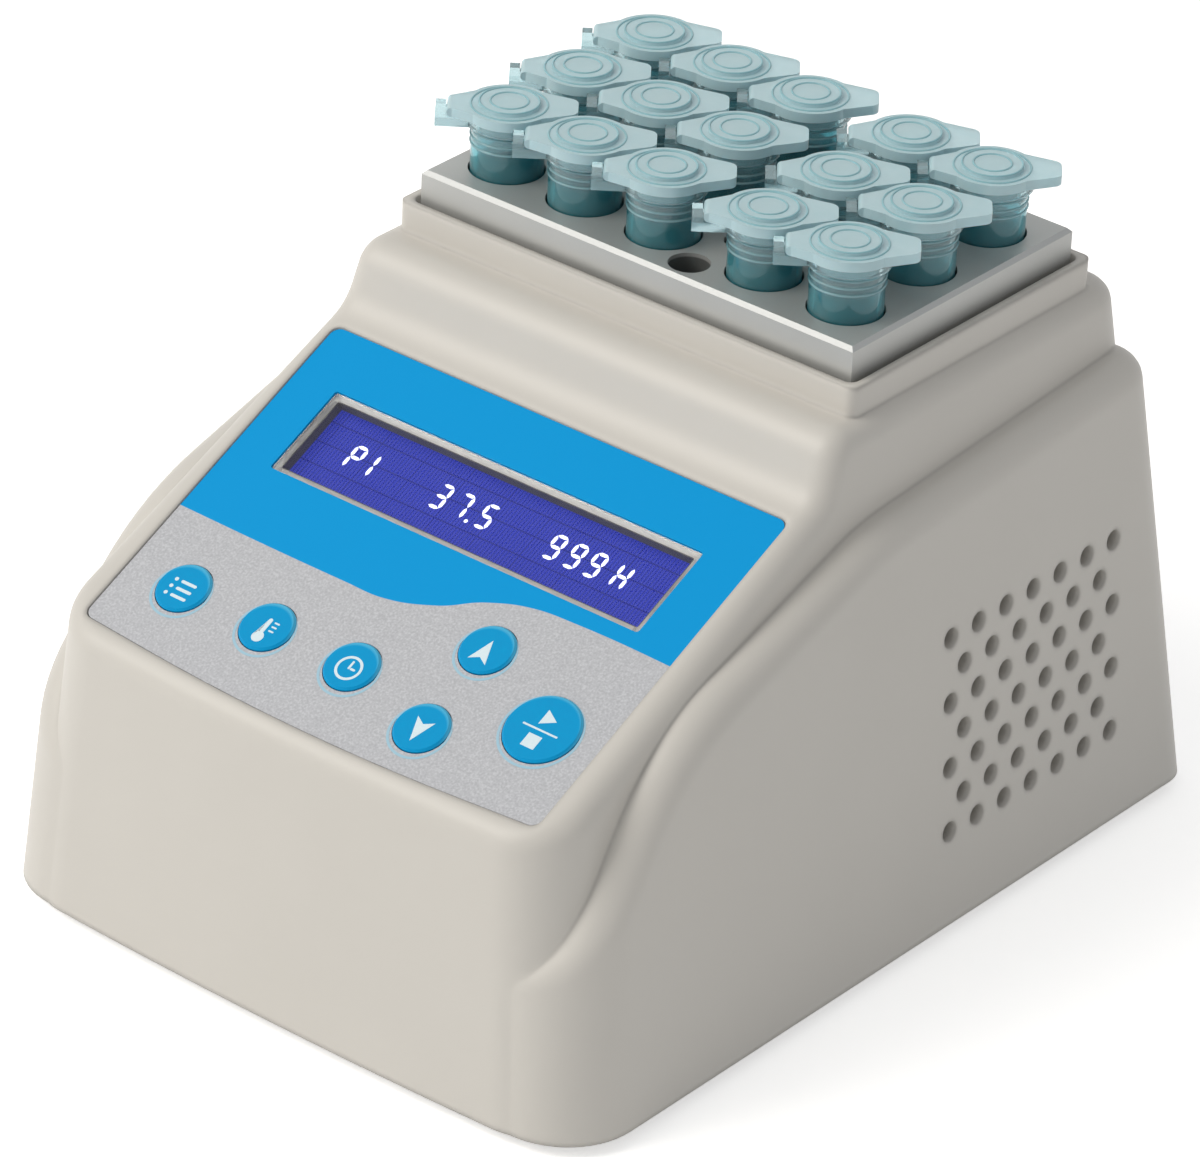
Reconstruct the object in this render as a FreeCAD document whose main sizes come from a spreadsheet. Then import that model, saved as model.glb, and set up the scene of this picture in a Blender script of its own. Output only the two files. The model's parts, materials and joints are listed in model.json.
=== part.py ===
import FreeCAD, Part
import math
import os
import Sketcher
from FreeCAD import Placement, Rotation, Vector

# Dry bath incubator with a block for small lidded tubes. Millimetres and degrees.
# X is to the right, Y to the back and Z up. The origin lies under the middle, on the bench.
# Heights named below are measured from the lower edge of the housing, which the feet lift off the bench.

SIZES = {
    # housing
    "housing_width": 110.0,
    "housing_depth": 147.2,
    "foot_gap": 2.0,
    "wall": 2.6,
    "walls_height": 100.0,
    "margin": 8.0,
    "side_lean": 4.2,
    "front_lean": 3.0,
    "back_lean": 9.2,
    "front_corner": 12.0,
    "back_corner": 6.0,
    "bow_radius": 900.0,
    # fenders along both sides
    "fender_width": 4.9,
    "fender_setback": 0.4,
    "knee_back": -3.0,
    "knee_height": 68.8,
    "fender_rise": 4.1,
    "fender_fall": 17.5,
    "fender_bend": -48.7,
    "fender_drop": 54.0,
    "fender_curve": 40.0,
    "fender_round": 4.5,
    # raised middle with the sloping face and the turret
    "middle_corner": 10.0,
    "middle_round": 3.5,
    "shoulder_height": 83.3,
    "turret_front": -7.4,
    "turret_lean": 19.0,
    "turret_curve": 5.0,
    "turret_foot_curve": 6.0,
    # sloping control face
    "panel_tilt": 26.0,
    "panel_foot_back": -67.0,
    "panel_foot_height": 46.5,
    "panel_width": 83.0,
    "panel_length": 58.7,
    "panel_corner": 1.6,
    "panel_edge_bow": 2.9,
    "panel_bow_radius": 420.0,
    "overlay_thickness": 0.8,
    "overlay_clearance": 0.15,
    "overlay_depth": 0.2,
    # display
    "window_width": 65.5,
    "window_length": 13.6,
    "window_along": 41.2,
    "window_corner": 0.5,
    "lens_thickness": 0.5,
    "lens_clearance": 0.1,
    "lens_ledge": 1.0,
    "display_gap": 0.4,
    "glass_thickness": 3.0,
    "glass_margin": 3.0,
    "display_board_width": 78.0,
    "display_board_length": 27.0,
    "display_post_radius": 1.6,
    # keys
    "key_radius": 4.35,
    "start_key_radius": 5.9,
    "key_clearance": 0.15,
    "key_travel": 0.4,
    "key_cap": 0.8,
    "key_edge": 0.3,
    "key_proud": 0.45,
    "key_stem_radius": 2.0,
    "key_hole_clearance": 0.5,
    "key_column": 15.7,
    "middle_key_across": 0.4,
    "key_row": 10.2,
    "arrow_across": 16.3,
    "arrow_low": 6.2,
    "arrow_high": 21.3,
    "start_across": 32.0,
    "start_along": 13.8,
    "key_stem_length": 4.25,
    "switch_gap": 0.05,
    "switch_height": 3.4,
    "switch_button": 0.8,
    "switch_side": 6.0,
    "key_board_width": 78.0,
    "key_board_length": 25.5,
    "key_board_low": -0.5,
    "key_post_inset": 3.0,
    "board_thickness": 1.6,
    "post_radius": 2.0,
    # heating block
    "block_width": 78.6,
    "block_depth": 51.3,
    "block_height": 35.7,
    "block_top_height": 92.7,
    "block_middle_back": 26.7,
    "block_edge": 0.6,
    "block_gap": 1.0,
    "collar_wall": 1.3,
    "collar_height": 4.6,
    "collar_corner": 1.5,
    "skirt_wall": 2.0,
    "tube_pitch": 14.55,
    "tube_row": 16.5,
    "first_column": -31.0,
    "fourth_column": 16.35,
    "tube_hole_radius": 5.67,
    "tube_hole_straight": 12.0,
    "tube_hole_depth": 29.6,
    "tube_hole_floor": 1.9,
    "probe_hole_radius": 3.1,
    "probe_hole_depth": 25.0,
    "probe_hole_across": 6.7,
    "probe_hole_back": 5.4,
    "lift_hole_radius": 2.1,
    "lift_hole_depth": 12.0,
    "lift_hole_across": 7.4,
    "lift_hole_back": 15.6,
    # tubes
    "tube_clearance": 0.27,
    "tube_wall": 0.95,
    "tube_tip_radius": 1.6,
    "tube_tip_lift": 0.3,
    "rim_height": 8.6,
    "rim_radius": 6.2,
    "rim_thickness": 1.2,
    "lid_angle": 38.0,
    "lid_radius": 6.4,
    "lid_thickness": 1.5,
    "lid_gap": 0.1,
    "lid_crown_radius": 4.5,
    "lid_crown_height": 0.5,
    "lid_shoulder": 5.0,
    "lid_shoulder_reach": 3.0,
    "plug_radius": 4.0,
    "plug_depth": 1.8,
    "hinge_reach": 8.2,
    "hinge_length": 10.6,
    "hinge_half_width": 2.2,
    "hinge_drop": 1.4,
    "hinge_lip_gap": 0.15,
    "tab_length": 9.9,
    "tab_half_width": 2.3,
    "tab_corner": 1.5,
    # heater under the block
    "plate_thickness": 5.0,
    "film_thickness": 0.6,
    "film_margin": 4.0,
    "tray_floor": 2.5,
    "tray_rise": 3.0,
    "tray_gap": 0.3,
    "tray_leg_radius": 4.0,
    "tray_leg_across": 34.0,
    "tray_leg_back": 20.0,
    "cutout_radius": 6.0,
    "cutout_height": 5.0,
    "cutout_across": -18.0,
    "sensor_radius": 1.5,
    "sensor_length": 22.0,
    # bottom cover, feet and screws
    "cover_thickness": 2.2,
    "cover_recess": 0.5,
    "cover_clearance": 0.3,
    "foot_radius": 6.5,
    "foot_plug_radius": 2.5,
    "foot_across": 38.0,
    "foot_back": 61.0,
    "foot_taper": 0.8,
    "screw_radius": 1.5,
    "screw_head_radius": 2.8,
    "screw_head_height": 1.6,
    "screw_length": 11.0,
    "screw_across": 47.8,
    "screw_front": -46.0,
    "screw_rear": 58.0,
    "screw_boss_radius": 3.6,
    "screw_clearance": 0.12,
    "boss_height": 30.0,
    # control board
    "main_board_width": 76.0,
    "main_board_length": 58.0,
    "main_board_back": -36.0,
    "main_board_lift": 5.0,
    "main_post_inset": 5.0,
    # vents
    "vent_radius": 1.6,
    "vent_back": 12.4,
    "vent_height": 46.6,
    "vent_pitch": 6.5,
    "vent_row": 5.2,
    # rear connector and switch
    "jack_across": 26.0,
    "jack_height": 18.0,
    "jack_flange_radius": 7.2,
    "jack_flange_thickness": 1.5,
    "jack_barrel_radius": 4.6,
    "jack_barrel_length": 12.0,
    "jack_socket_radius": 2.9,
    "jack_socket_depth": 10.0,
    "jack_pin_radius": 1.05,
    "jack_pin_inset": 2.0,
    "rocker_across": -24.0,
    "rocker_height": 20.0,
    "rocker_frame_width": 21.0,
    "rocker_frame_height": 15.0,
    "rocker_body_width": 18.8,
    "rocker_body_height": 12.8,
    "rocker_body_depth": 13.0,
    "rocker_lip": 1.5,
    "rocker_wall": 1.4,
    "rocker_clearance": 0.25,
    "rocker_throw": 9.0,
    "rocker_pin_radius": 1.2,
    "rocker_pin_play": 0.05,
    "rocker_pivot_depth": 3.2,
    "rocker_hollow": 8.5,
    "rocker_length": 13.8,
    "rocker_horn": 0.7,
    "rocker_side": 3.5,
    "rocker_keel": 2.3,
}

VENT_ROWS = (7, 6, 7, 6, 7, 6, 7)
ROWS = 3
LEFT_COLUMNS = 3
RIGHT_COLUMNS = 2

DOC = FreeCAD.newDocument("dry_bath_incubator")
SHEET = DOC.addObject("Spreadsheet::Sheet", "Sizes")


class Size:
    """A number together with the formula that the document keeps for it."""

    def __init__(self, number, formula):
        self.number = float(number)
        self.formula = formula

    def __add__(self, other):
        other = as_size(other)
        return Size(self.number + other.number, f"({self.formula} + {other.formula})")

    def __sub__(self, other):
        other = as_size(other)
        return Size(self.number - other.number, f"({self.formula} - {other.formula})")

    def __mul__(self, other):
        other = as_size(other)
        return Size(self.number * other.number, f"({self.formula} * {other.formula})")

    def __truediv__(self, other):
        other = as_size(other)
        return Size(self.number / other.number, f"({self.formula} / {other.formula})")

    def __neg__(self):
        return Size(-self.number, f"(0 - {self.formula})")

    def __radd__(self, other):
        return as_size(other) + self

    def __rsub__(self, other):
        return as_size(other) - self

    def __rmul__(self, other):
        return as_size(other) * self

    def __rtruediv__(self, other):
        return as_size(other) / self


def as_size(value):
    """A plain number becomes a size whose formula is that number."""
    if isinstance(value, Size):
        return value
    return Size(value, repr(float(value)))


def tangent(angle):
    return Size(math.tan(math.radians(angle.number)), f"tan({angle.formula})")


def sine(angle):
    return Size(math.sin(math.radians(angle.number)), f"sin({angle.formula})")


def cosine(angle):
    return Size(math.cos(math.radians(angle.number)), f"cos({angle.formula})")


class Sizes:
    """The driving dimensions, read as attributes by their names in the sheet."""

    def __getattr__(self, name):
        return Size(SIZES[name], f"Sizes.{name}")


def fill_sheet():
    """One row for each driving dimension: its name, then its number under an alias."""
    for row, (name, number) in enumerate(SIZES.items(), start=1):
        SHEET.set(f"A{row}", name)
        SHEET.set(f"B{row}", str(number))
        SHEET.setAlias(f"B{row}", name)
    DOC.recompute()


fill_sheet()
D = Sizes()
HALF_WIDTH = D.housing_width / 2
HALF_DEPTH = D.housing_depth / 2


def lifted(height):
    """Z of a height that is measured from the lower edge of the housing."""
    return D.foot_gap + height


def bind(item, path, value):
    """Keep the formula for a property, so that it follows the sheet."""
    value = as_size(value)
    item.setExpression(path, value.formula)


def place(item, x=0, y=0, z=0, axis=Vector(0, 0, 1), angle=0):
    """Put an object at a point, turned about one axis, all bound to the sheet."""
    x, y, z, angle = as_size(x), as_size(y), as_size(z), as_size(angle)
    turn = Rotation(axis, angle.number)
    item.Placement = Placement(Vector(x.number, y.number, z.number), turn)
    bind(item, "Placement.Base.x", x)
    bind(item, "Placement.Base.y", y)
    bind(item, "Placement.Base.z", z)
    if angle.number:
        bind(item, "Placement.Rotation.Angle", angle)
    return item


def place_on_panel(item, across=0, along=0, out=0):
    """Local X across the control face, Y up its slope and Z out of it."""
    along, out = as_size(along), as_size(out)
    y = D.panel_foot_back + along * cosine(D.panel_tilt) - out * sine(D.panel_tilt)
    z = lifted(D.panel_foot_height + along * sine(D.panel_tilt) + out * cosine(D.panel_tilt))
    return place(item, across, y, z, Vector(1, 0, 0), D.panel_tilt)


def place_on_back(item, across, height):
    """Local X across the back wall, Y down it and Z out of it."""
    y = HALF_DEPTH - height * tangent(D.back_lean)
    return place(item, across, y, lifted(height), Vector(1, 0, 0), D.back_lean - 90)


# Sketches

def corner_cut(before, corner, after, radius):
    """Where a round corner leaves its two sides, and the middle of its arc."""
    to_before = (before - corner).normalize()
    to_after = (after - corner).normalize()
    half = to_before.getAngle(to_after) / 2
    reach = radius / math.tan(half)
    middle = corner + (to_before + to_after).normalize() * (radius / math.sin(half))
    return corner + to_before * reach, corner + to_after * reach, middle


def rounded_outline(sketch, corners):
    """Closed outline through (x, y, radius) corners; a corner with radius 0 stays sharp."""
    corners = [tuple(as_size(value) for value in corner) for corner in corners]
    points = [Vector(x.number, y.number, 0) for x, y, _ in corners]
    count = len(points)
    starts, ends, arcs = {}, {}, {}
    for index, (_, _, radius) in enumerate(corners):
        before, after = points[index - 1], points[(index + 1) % count]
        if radius.number > 0:
            ends[index], starts[index], arcs[index] = corner_cut(before, points[index], after, radius.number)
        else:
            ends[index] = starts[index] = points[index]
    sides = []
    for index in range(count):
        line = Part.LineSegment(starts[index], ends[(index + 1) % count])
        sides.append(sketch.addGeometry(line, False))
    for index, (x, y, radius) in enumerate(corners):
        arriving, leaving = sides[index - 1], sides[index]
        if index in arcs:
            join_with_arc(sketch, arriving, leaving, points[index], arcs[index], ends[index], starts[index], radius)
            tip = sketch.GeometryCount - 1
            fix_point(sketch, tip, 1, x, y)
            sketch.addConstraint(Sketcher.Constraint("PointOnObject", tip, 1, arriving))
            sketch.addConstraint(Sketcher.Constraint("PointOnObject", tip, 1, leaving))
        else:
            sketch.addConstraint(Sketcher.Constraint("Coincident", arriving, 2, leaving, 1))
            fix_point(sketch, leaving, 1, x, y)


def join_with_arc(sketch, arriving, leaving, tip, middle, first, last, radius):
    """A tangent arc between two sides, and a construction point at their corner."""
    turn_first = math.atan2(first.y - middle.y, first.x - middle.x)
    turn_last = math.atan2(last.y - middle.y, last.x - middle.x)
    left_turn = (tip - first).cross(last - tip).z > 0
    circle = Part.Circle(middle, Vector(0, 0, 1), radius.number)
    if left_turn:
        arc = sketch.addGeometry(Part.ArcOfCircle(circle, turn_first, turn_last), False)
        near, far = 1, 2
    else:
        arc = sketch.addGeometry(Part.ArcOfCircle(circle, turn_last, turn_first), False)
        near, far = 2, 1
    sketch.addConstraint(Sketcher.Constraint("Tangent", arriving, 2, arc, near))
    sketch.addConstraint(Sketcher.Constraint("Tangent", leaving, 1, arc, far))
    fix_radius(sketch, arc, radius)
    sketch.addGeometry(Part.Point(tip), True)


def fix_point(sketch, geometry, end, x, y):
    """Hold a point at its distances from the sketch's origin."""
    for kind, value in (("DistanceX", x), ("DistanceY", y)):
        value = as_size(value)
        spot = sketch.addConstraint(Sketcher.Constraint(kind, -1, 1, geometry, end, value.number))
        sketch.setExpression(f"Constraints[{spot}]", value.formula)


def fix_radius(sketch, geometry, radius):
    radius = as_size(radius)
    spot = sketch.addConstraint(Sketcher.Constraint("Radius", geometry, radius.number))
    sketch.setExpression(f"Constraints[{spot}]", radius.formula)


def circle(sketch, x, y, radius):
    """A circle with its centre and radius bound to the sheet."""
    x, y, radius = as_size(x), as_size(y), as_size(radius)
    centre = Vector(x.number, y.number, 0)
    ring = sketch.addGeometry(Part.Circle(centre, Vector(0, 0, 1), radius.number), False)
    fix_radius(sketch, ring, radius)
    fix_point(sketch, ring, 3, x, y)


def rectangle(sketch, left, low, right, high, corner=0):
    """An upright rectangle between two corners."""
    rounded_outline(sketch, [(left, low, corner), (right, low, corner), (right, high, corner), (left, high, corner)])


def free_sketch(name):
    return DOC.addObject("Sketcher::SketchObject", name)


def side_sketch(name, across=0):
    """A free sketch that stands along the object: its X is the object's Y and its Y is Z."""
    sketch = free_sketch(name)
    sketch.Placement = Placement(Vector(as_size(across).number, 0, 0), Rotation(Vector(1, 1, 1), 120))
    bind(sketch, "Placement.Base.x", across)
    return sketch


# Solids

def extruded(name, sketch, direction, forward, backward=0):
    """A solid from a flat outline, pushed both ways along one direction."""
    solid = DOC.addObject("Part::Extrusion", name)
    solid.Base = sketch
    solid.DirMode = "Custom"
    solid.Dir = direction
    solid.Solid = True
    bind(solid, "LengthFwd", forward)
    bind(solid, "LengthRev", backward)
    return solid


def box(name, width, depth, height, x=0, y=0, z=0):
    """A box centred across and along, standing on its place."""
    solid = DOC.addObject("Part::Box", name)
    width, depth, height = as_size(width), as_size(depth), as_size(height)
    bind(solid, "Length", width)
    bind(solid, "Width", depth)
    bind(solid, "Height", height)
    return place(solid, x - width / 2, y - depth / 2, z)


def rod(name, radius, length, x=0, y=0, z=0, axis=Vector(0, 0, 1), angle=0):
    solid = DOC.addObject("Part::Cylinder", name)
    bind(solid, "Radius", radius)
    bind(solid, "Height", length)
    return place(solid, x, y, z, axis, angle)


def fused(name, solids):
    union = DOC.addObject("Part::MultiFuse", name)
    union.Shapes = solids
    return union


def common(name, first, second):
    shared = DOC.addObject("Part::MultiCommon", name)
    shared.Shapes = [first, second]
    return shared


def cut(name, base, tools):
    """A base with one tool or several taken out of it."""
    remainder = DOC.addObject("Part::Cut", name)
    remainder.Base = base
    remainder.Tool = tools[0] if len(tools) == 1 else fused(name + "_tools", tools)
    return remainder


def edges_where(shape, test):
    """Numbers of the edges whose every sampled point passes the test."""
    found = []
    for number, edge in enumerate(shape.Edges, start=1):
        first, last = edge.ParameterRange
        spots = [edge.valueAt(first + (last - first) * step / 4) for step in range(5)]
        if all(test(spot) for spot in spots):
            found.append(number)
    return found


def rise_at(face, spot):
    """How far a face looks up at a point near it."""
    return face.normalAt(*face.Surface.parameter(spot)).z


def rim_edges(shape, limit):
    """Numbers of the edges where a wall meets a surface that looks up more than the limit."""
    found = []
    for number, edge in enumerate(shape.Edges, start=1):
        first, last = edge.ParameterRange
        spot = edge.valueAt((first + last) / 2)
        faces = shape.ancestorsOfType(edge, Part.Face)
        if len(faces) != 2:
            continue
        low, high = sorted(rise_at(face, spot) for face in faces)
        if -limit < low < limit < high:
            found.append(number)
    return found


def rounded_rim(name, base, radius):
    """A fillet all round the upper rim of a form."""
    DOC.recompute()
    item = DOC.addObject("Part::Fillet", name)
    item.Base = base
    item.Edges = [(number, radius.number, radius.number) for number in rim_edges(base.Shape, 0.25)]
    return item


# Housing

MIDDLE_HALF = HALF_WIDTH - D.fender_width


def front_sketch(name):
    """A free sketch that faces the front: its X is the object's X and its Y is Z."""
    sketch = free_sketch(name)
    sketch.Placement = Placement(Vector(0, 0, 0), Rotation(Vector(1, 0, 0), 90))
    return sketch


def wall_slab(name, sketch, low_ends, high_ends, direction, reach):
    """Two leaning walls as one slab: each height's near and far end, pushed both ways across."""
    low, high = lifted(as_size(0)), lifted(D.walls_height)
    rounded_outline(sketch, [
        (low_ends[0], low, 0),
        (low_ends[1], low, 0),
        (high_ends[1], high, 0),
        (high_ends[0], high, 0),
    ])
    return extruded(name, sketch, direction, reach, reach)


def bowed_front(name, front):
    """A rod so thick that its side is the slightly bowed, leaning front wall."""
    overhang = D.bow_radius * sine(D.front_lean) + D.margin
    middle = front + D.bow_radius / cosine(D.front_lean) - overhang * tangent(D.front_lean)
    length = (D.walls_height + 2 * overhang) / cosine(D.front_lean)
    return rod(name, D.bow_radius, length, 0, middle, lifted(-overhang), Vector(1, 0, 0), -D.front_lean)


def rounded_corners(name, base, front_corner, back_corner):
    """Fillets on the four edges that run from the bottom to the top."""
    DOC.recompute()
    item = DOC.addObject("Part::Fillet", name)
    item.Base = base
    rounded = []
    for number, edge in enumerate(base.Shape.Edges, start=1):
        if edge.BoundBox.ZLength > edge.BoundBox.XLength + edge.BoundBox.YLength:
            radius = front_corner if edge.BoundBox.YMax < 0 else back_corner
            rounded.append((number, radius.number, radius.number))
    item.Edges = rounded
    return item


def walls(name, half_width, setback, front_corner, inward):
    """The leaning walls as one solid, moved inwards for the inside of the shell."""
    side = half_width - inward / cosine(D.side_lean)
    front = setback - HALF_DEPTH + inward / cosine(D.front_lean)
    back = HALF_DEPTH - setback - inward / cosine(D.back_lean)
    high_side = side - D.walls_height * tangent(D.side_lean)
    high_front = front + D.walls_height * tangent(D.front_lean)
    high_back = back - D.walls_height * tangent(D.back_lean)
    across = wall_slab(name + "_across", front_sketch(name + "_front_view"), (-side, side), (-high_side, high_side),
                       Vector(0, 1, 0), HALF_DEPTH + D.margin)
    along = wall_slab(name + "_along", side_sketch(name + "_side_view"), (front, back), (high_front, high_back),
                      Vector(1, 0, 0), HALF_WIDTH + D.margin)
    block = common(name + "_bowed", common(name + "_flat", across, along), bowed_front(name + "_bow", front))
    return rounded_corners(name, block, front_corner - inward, D.back_corner - inward)


def side_line(back, height, angle, inward):
    """A line of the side view through one point, moved into the material by a wall."""
    return back, height - inward / cosine(angle), tangent(angle)


def height_on(line, back):
    start, height, slope = line
    return height + (back - start) * slope


def crossing(first, second):
    """Where two lines of the side view meet, in place along and height."""
    back = (height_on(second, as_size(0)) - height_on(first, as_size(0))) / (first[2] - second[2])
    return back, height_on(first, back)


def panel_line(inward):
    """The sloping face, a little above the film that lies in it."""
    surround = D.overlay_depth / cosine(D.panel_tilt)
    return side_line(D.panel_foot_back, D.panel_foot_height + surround, D.panel_tilt, inward)


def closed_profile(name, top):
    """Side view under a row of top corners, from the back to the front, open at no side."""
    sketch = side_sketch(name)
    first, last = top[0], top[-1]
    corners = [(first[0], lifted(-D.margin), 0)]
    corners += [(back, lifted(height), radius) for back, height, radius in top]
    corners += [(last[0], lifted(-D.margin), 0)]
    rounded_outline(sketch, corners)
    return sketch


def fender_profile(name, inward):
    """Side view of a fender: nearly level at the back, then falling in a long curve to the front."""
    far = HALF_DEPTH + D.margin
    bend_height = D.knee_height - (D.knee_back - D.fender_bend) * tangent(D.fender_fall)
    level = side_line(D.knee_back, D.knee_height, D.fender_rise, inward)
    falling = side_line(D.knee_back, D.knee_height, D.fender_fall, inward)
    dropping = side_line(D.fender_bend, bend_height, D.fender_drop, inward)
    curve = D.fender_curve - inward
    return closed_profile(name, [
        (far, height_on(level, far), 0),
        (*crossing(level, falling), curve),
        (*crossing(falling, dropping), curve),
        (-far, height_on(dropping, -far), 0),
    ])


def middle_profile(name, inward):
    """Side view of the raised middle: the turret, then the sloping control face."""
    far = HALF_DEPTH + D.margin
    shoulder = side_line(D.turret_front, D.shoulder_height, as_size(0), inward)
    turret = side_line(D.turret_front, D.shoulder_height, 90 - D.turret_lean, inward)
    face = panel_line(inward)
    return closed_profile(name, [
        (far, height_on(shoulder, far), 0),
        (*crossing(shoulder, turret), D.turret_curve - inward),
        (*crossing(turret, face), D.turret_foot_curve + inward),
        (-far, height_on(face, -far), 0),
    ])


def form(name, profile, half_width, setback, front_corner, inward):
    """A side view pushed across the object, kept where it lies inside the leaning walls."""
    slab = extruded(name + "_slab", profile, Vector(1, 0, 0), HALF_WIDTH, HALF_WIDTH)
    return common(name, walls(name + "_walls", half_width, setback, front_corner, inward), slab)


def fenders(name, inward):
    profile = fender_profile(name + "_profile", inward)
    return form(name, profile, HALF_WIDTH, D.fender_setback, D.front_corner, inward)


def middle(name, inward):
    profile = middle_profile(name + "_profile", inward)
    return form(name, profile, MIDDLE_HALF, as_size(0), D.middle_corner, inward)


def film_outline(sketch, grow):
    """Outline of the control face's film, grown on every side; its lower edge is slightly bowed."""
    side = D.panel_width / 2 + grow
    rounded_outline(sketch, [
        (-side, -as_size(grow), D.panel_corner),
        (0, -(D.panel_edge_bow + grow), D.panel_bow_radius),
        (side, -as_size(grow), D.panel_corner),
        (side, D.panel_length + grow, D.panel_corner),
        (-side, D.panel_length + grow, D.panel_corner),
    ])


def window_outline(sketch, grow):
    """Rectangle of the display's window, grown on every side."""
    side = D.window_width / 2 + grow
    half = D.window_length / 2 + grow
    rectangle(sketch, -side, D.window_along - half, side, D.window_along + half, D.window_corner)


def along_normal(name, sketch, forward, backward=0):
    """A solid pushed along its own sketch's normal."""
    solid = extruded(name, sketch, Vector(0, 0, 1), forward, backward)
    solid.DirMode = "Normal"
    return solid


# Each key's place across and along the control face, and its radius
KEYS = {
    "key_program": (D.middle_key_across - 2 * D.key_column, D.key_row, D.key_radius),
    "key_temperature": (D.middle_key_across - D.key_column, D.key_row, D.key_radius),
    "key_time": (D.middle_key_across, D.key_row, D.key_radius),
    "key_down": (D.arrow_across, D.arrow_low, D.key_radius),
    "key_up": (D.arrow_across, D.arrow_high, D.key_radius),
    "key_start": (D.start_across, D.start_along, D.start_key_radius),
}


# Stations that several pieces share, as heights from the lower edge or depths below the film's face

COVER_TOP = D.cover_recess + D.cover_thickness
BLOCK_BOTTOM = D.block_top_height - D.block_height
PLATE_BOTTOM = BLOCK_BOTTOM - D.plate_thickness
TRAY_FLOOR_TOP = PLATE_BOTTOM - D.film_thickness
TRAY_BOTTOM = TRAY_FLOOR_TOP - D.tray_floor
TRAY_TOP = BLOCK_BOTTOM + D.tray_rise
WELL_HALF_WIDTH = D.block_width / 2 + D.block_gap
WELL_HALF_DEPTH = D.block_depth / 2 + D.block_gap
WALL_INSIDE = D.overlay_depth - D.wall
GLASS_FRONT = WALL_INSIDE - D.display_gap
DISPLAY_BOARD_FRONT = GLASS_FRONT - D.glass_thickness
STEM_END = D.key_proud - D.key_cap - D.key_stem_length
SWITCH_TOP = STEM_END - D.key_travel - D.switch_gap
KEY_BOARD_FRONT = SWITCH_TOP - D.switch_height
SCREW_PLACES = [(side * D.screw_across, back) for side in (-1, 1) for back in (D.screw_front, D.screw_rear)]
CORNERS = {"front_left": (-1, -1), "front_right": (1, -1), "rear_left": (-1, 1), "rear_right": (1, 1)}


def round_the_block(name, grow, low, high, corner):
    """A block-shaped solid in plan round the heating block, between two heights."""
    sketch = free_sketch(name + "_outline")
    place(sketch, 0, 0, lifted(low))
    across, back = WELL_HALF_WIDTH + grow, WELL_HALF_DEPTH + grow
    rectangle(sketch, -across, D.block_middle_back - back, across, D.block_middle_back + back, corner)
    return extruded(name, sketch, Vector(0, 0, 1), high - low)


def panel_rod(name, radius, across, along, low, high):
    """A rod square to the control face, between two depths."""
    item = DOC.addObject("Part::Cylinder", name)
    bind(item, "Radius", radius)
    bind(item, "Height", high - low)
    return place_on_panel(item, across, along, low)


def display_posts():
    """Across and along of the four posts that carry the display's board."""
    across = D.display_board_width / 2 - D.key_post_inset
    half = D.display_board_length / 2 - D.display_post_radius
    return [(side * across, D.window_along + end * half) for side in (-1, 1) for end in (-1, 1)]


def key_posts():
    """Across and along of the four posts that carry the key board."""
    across = D.key_board_width / 2 - D.key_post_inset
    low = D.key_board_low + D.key_post_inset
    high = D.key_board_low + D.key_board_length - D.key_post_inset
    return [(side * across, along) for side in (-1, 1) for along in (low, high)]


def housing_inside():
    """The space in the shell, less the bosses, posts and well skirt that stand in it."""
    hollow = fused("hollow", [fenders("fender_inner", D.wall), middle("middle_inner", D.wall)])
    standing = [round_the_block("skirt", D.skirt_wall, TRAY_TOP + D.tray_gap, D.shoulder_height, D.collar_corner)]
    for number, (across, back) in enumerate(SCREW_PLACES):
        length = D.boss_height - COVER_TOP
        standing.append(rod(f"boss_{number}", D.screw_boss_radius, length, across, back, lifted(COVER_TOP)))
    for number, (across, along) in enumerate(display_posts()):
        low = DISPLAY_BOARD_FRONT
        standing.append(panel_rod(f"display_post_{number}", D.display_post_radius, across, along, low, as_size(0)))
    for number, (across, along) in enumerate(key_posts()):
        low = KEY_BOARD_FRONT
        standing.append(panel_rod(f"key_post_{number}", D.post_radius, across, along, low, as_size(0)))
    return cut("inside", hollow, standing)


def vent_holes():
    """Staggered rows of round vents, through both side walls."""
    sketch = side_sketch("vent_pattern")
    longest = max(VENT_ROWS)
    for row, count in enumerate(VENT_ROWS):
        start = D.vent_back + (longest - count) * D.vent_pitch / 2
        for hole in range(count):
            height = D.vent_height - row * D.vent_row
            circle(sketch, start + hole * D.vent_pitch, lifted(height), D.vent_radius)
    return extruded("vent_holes", sketch, Vector(1, 0, 0), HALF_WIDTH, HALF_WIDTH)


def panel_openings():
    """The shallow seat of the film, the display's window and the holes for the key stems."""
    through = D.wall * 2
    seat_sketch = free_sketch("film_seat_outline")
    place_on_panel(seat_sketch, 0, 0, -D.overlay_thickness)
    film_outline(seat_sketch, D.overlay_clearance)
    seat = along_normal("film_seat", seat_sketch, D.wall)
    window_sketch = free_sketch("window_outline")
    place_on_panel(window_sketch)
    window_outline(window_sketch, as_size(0))
    window = along_normal("window", window_sketch, through, through)
    stems = free_sketch("stem_holes_outline")
    place_on_panel(stems)
    for across, along, _ in KEYS.values():
        circle(stems, across, along, D.key_stem_radius + D.key_hole_clearance)
    return [seat, window, along_normal("stem_holes", stems, through, through)]


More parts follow.
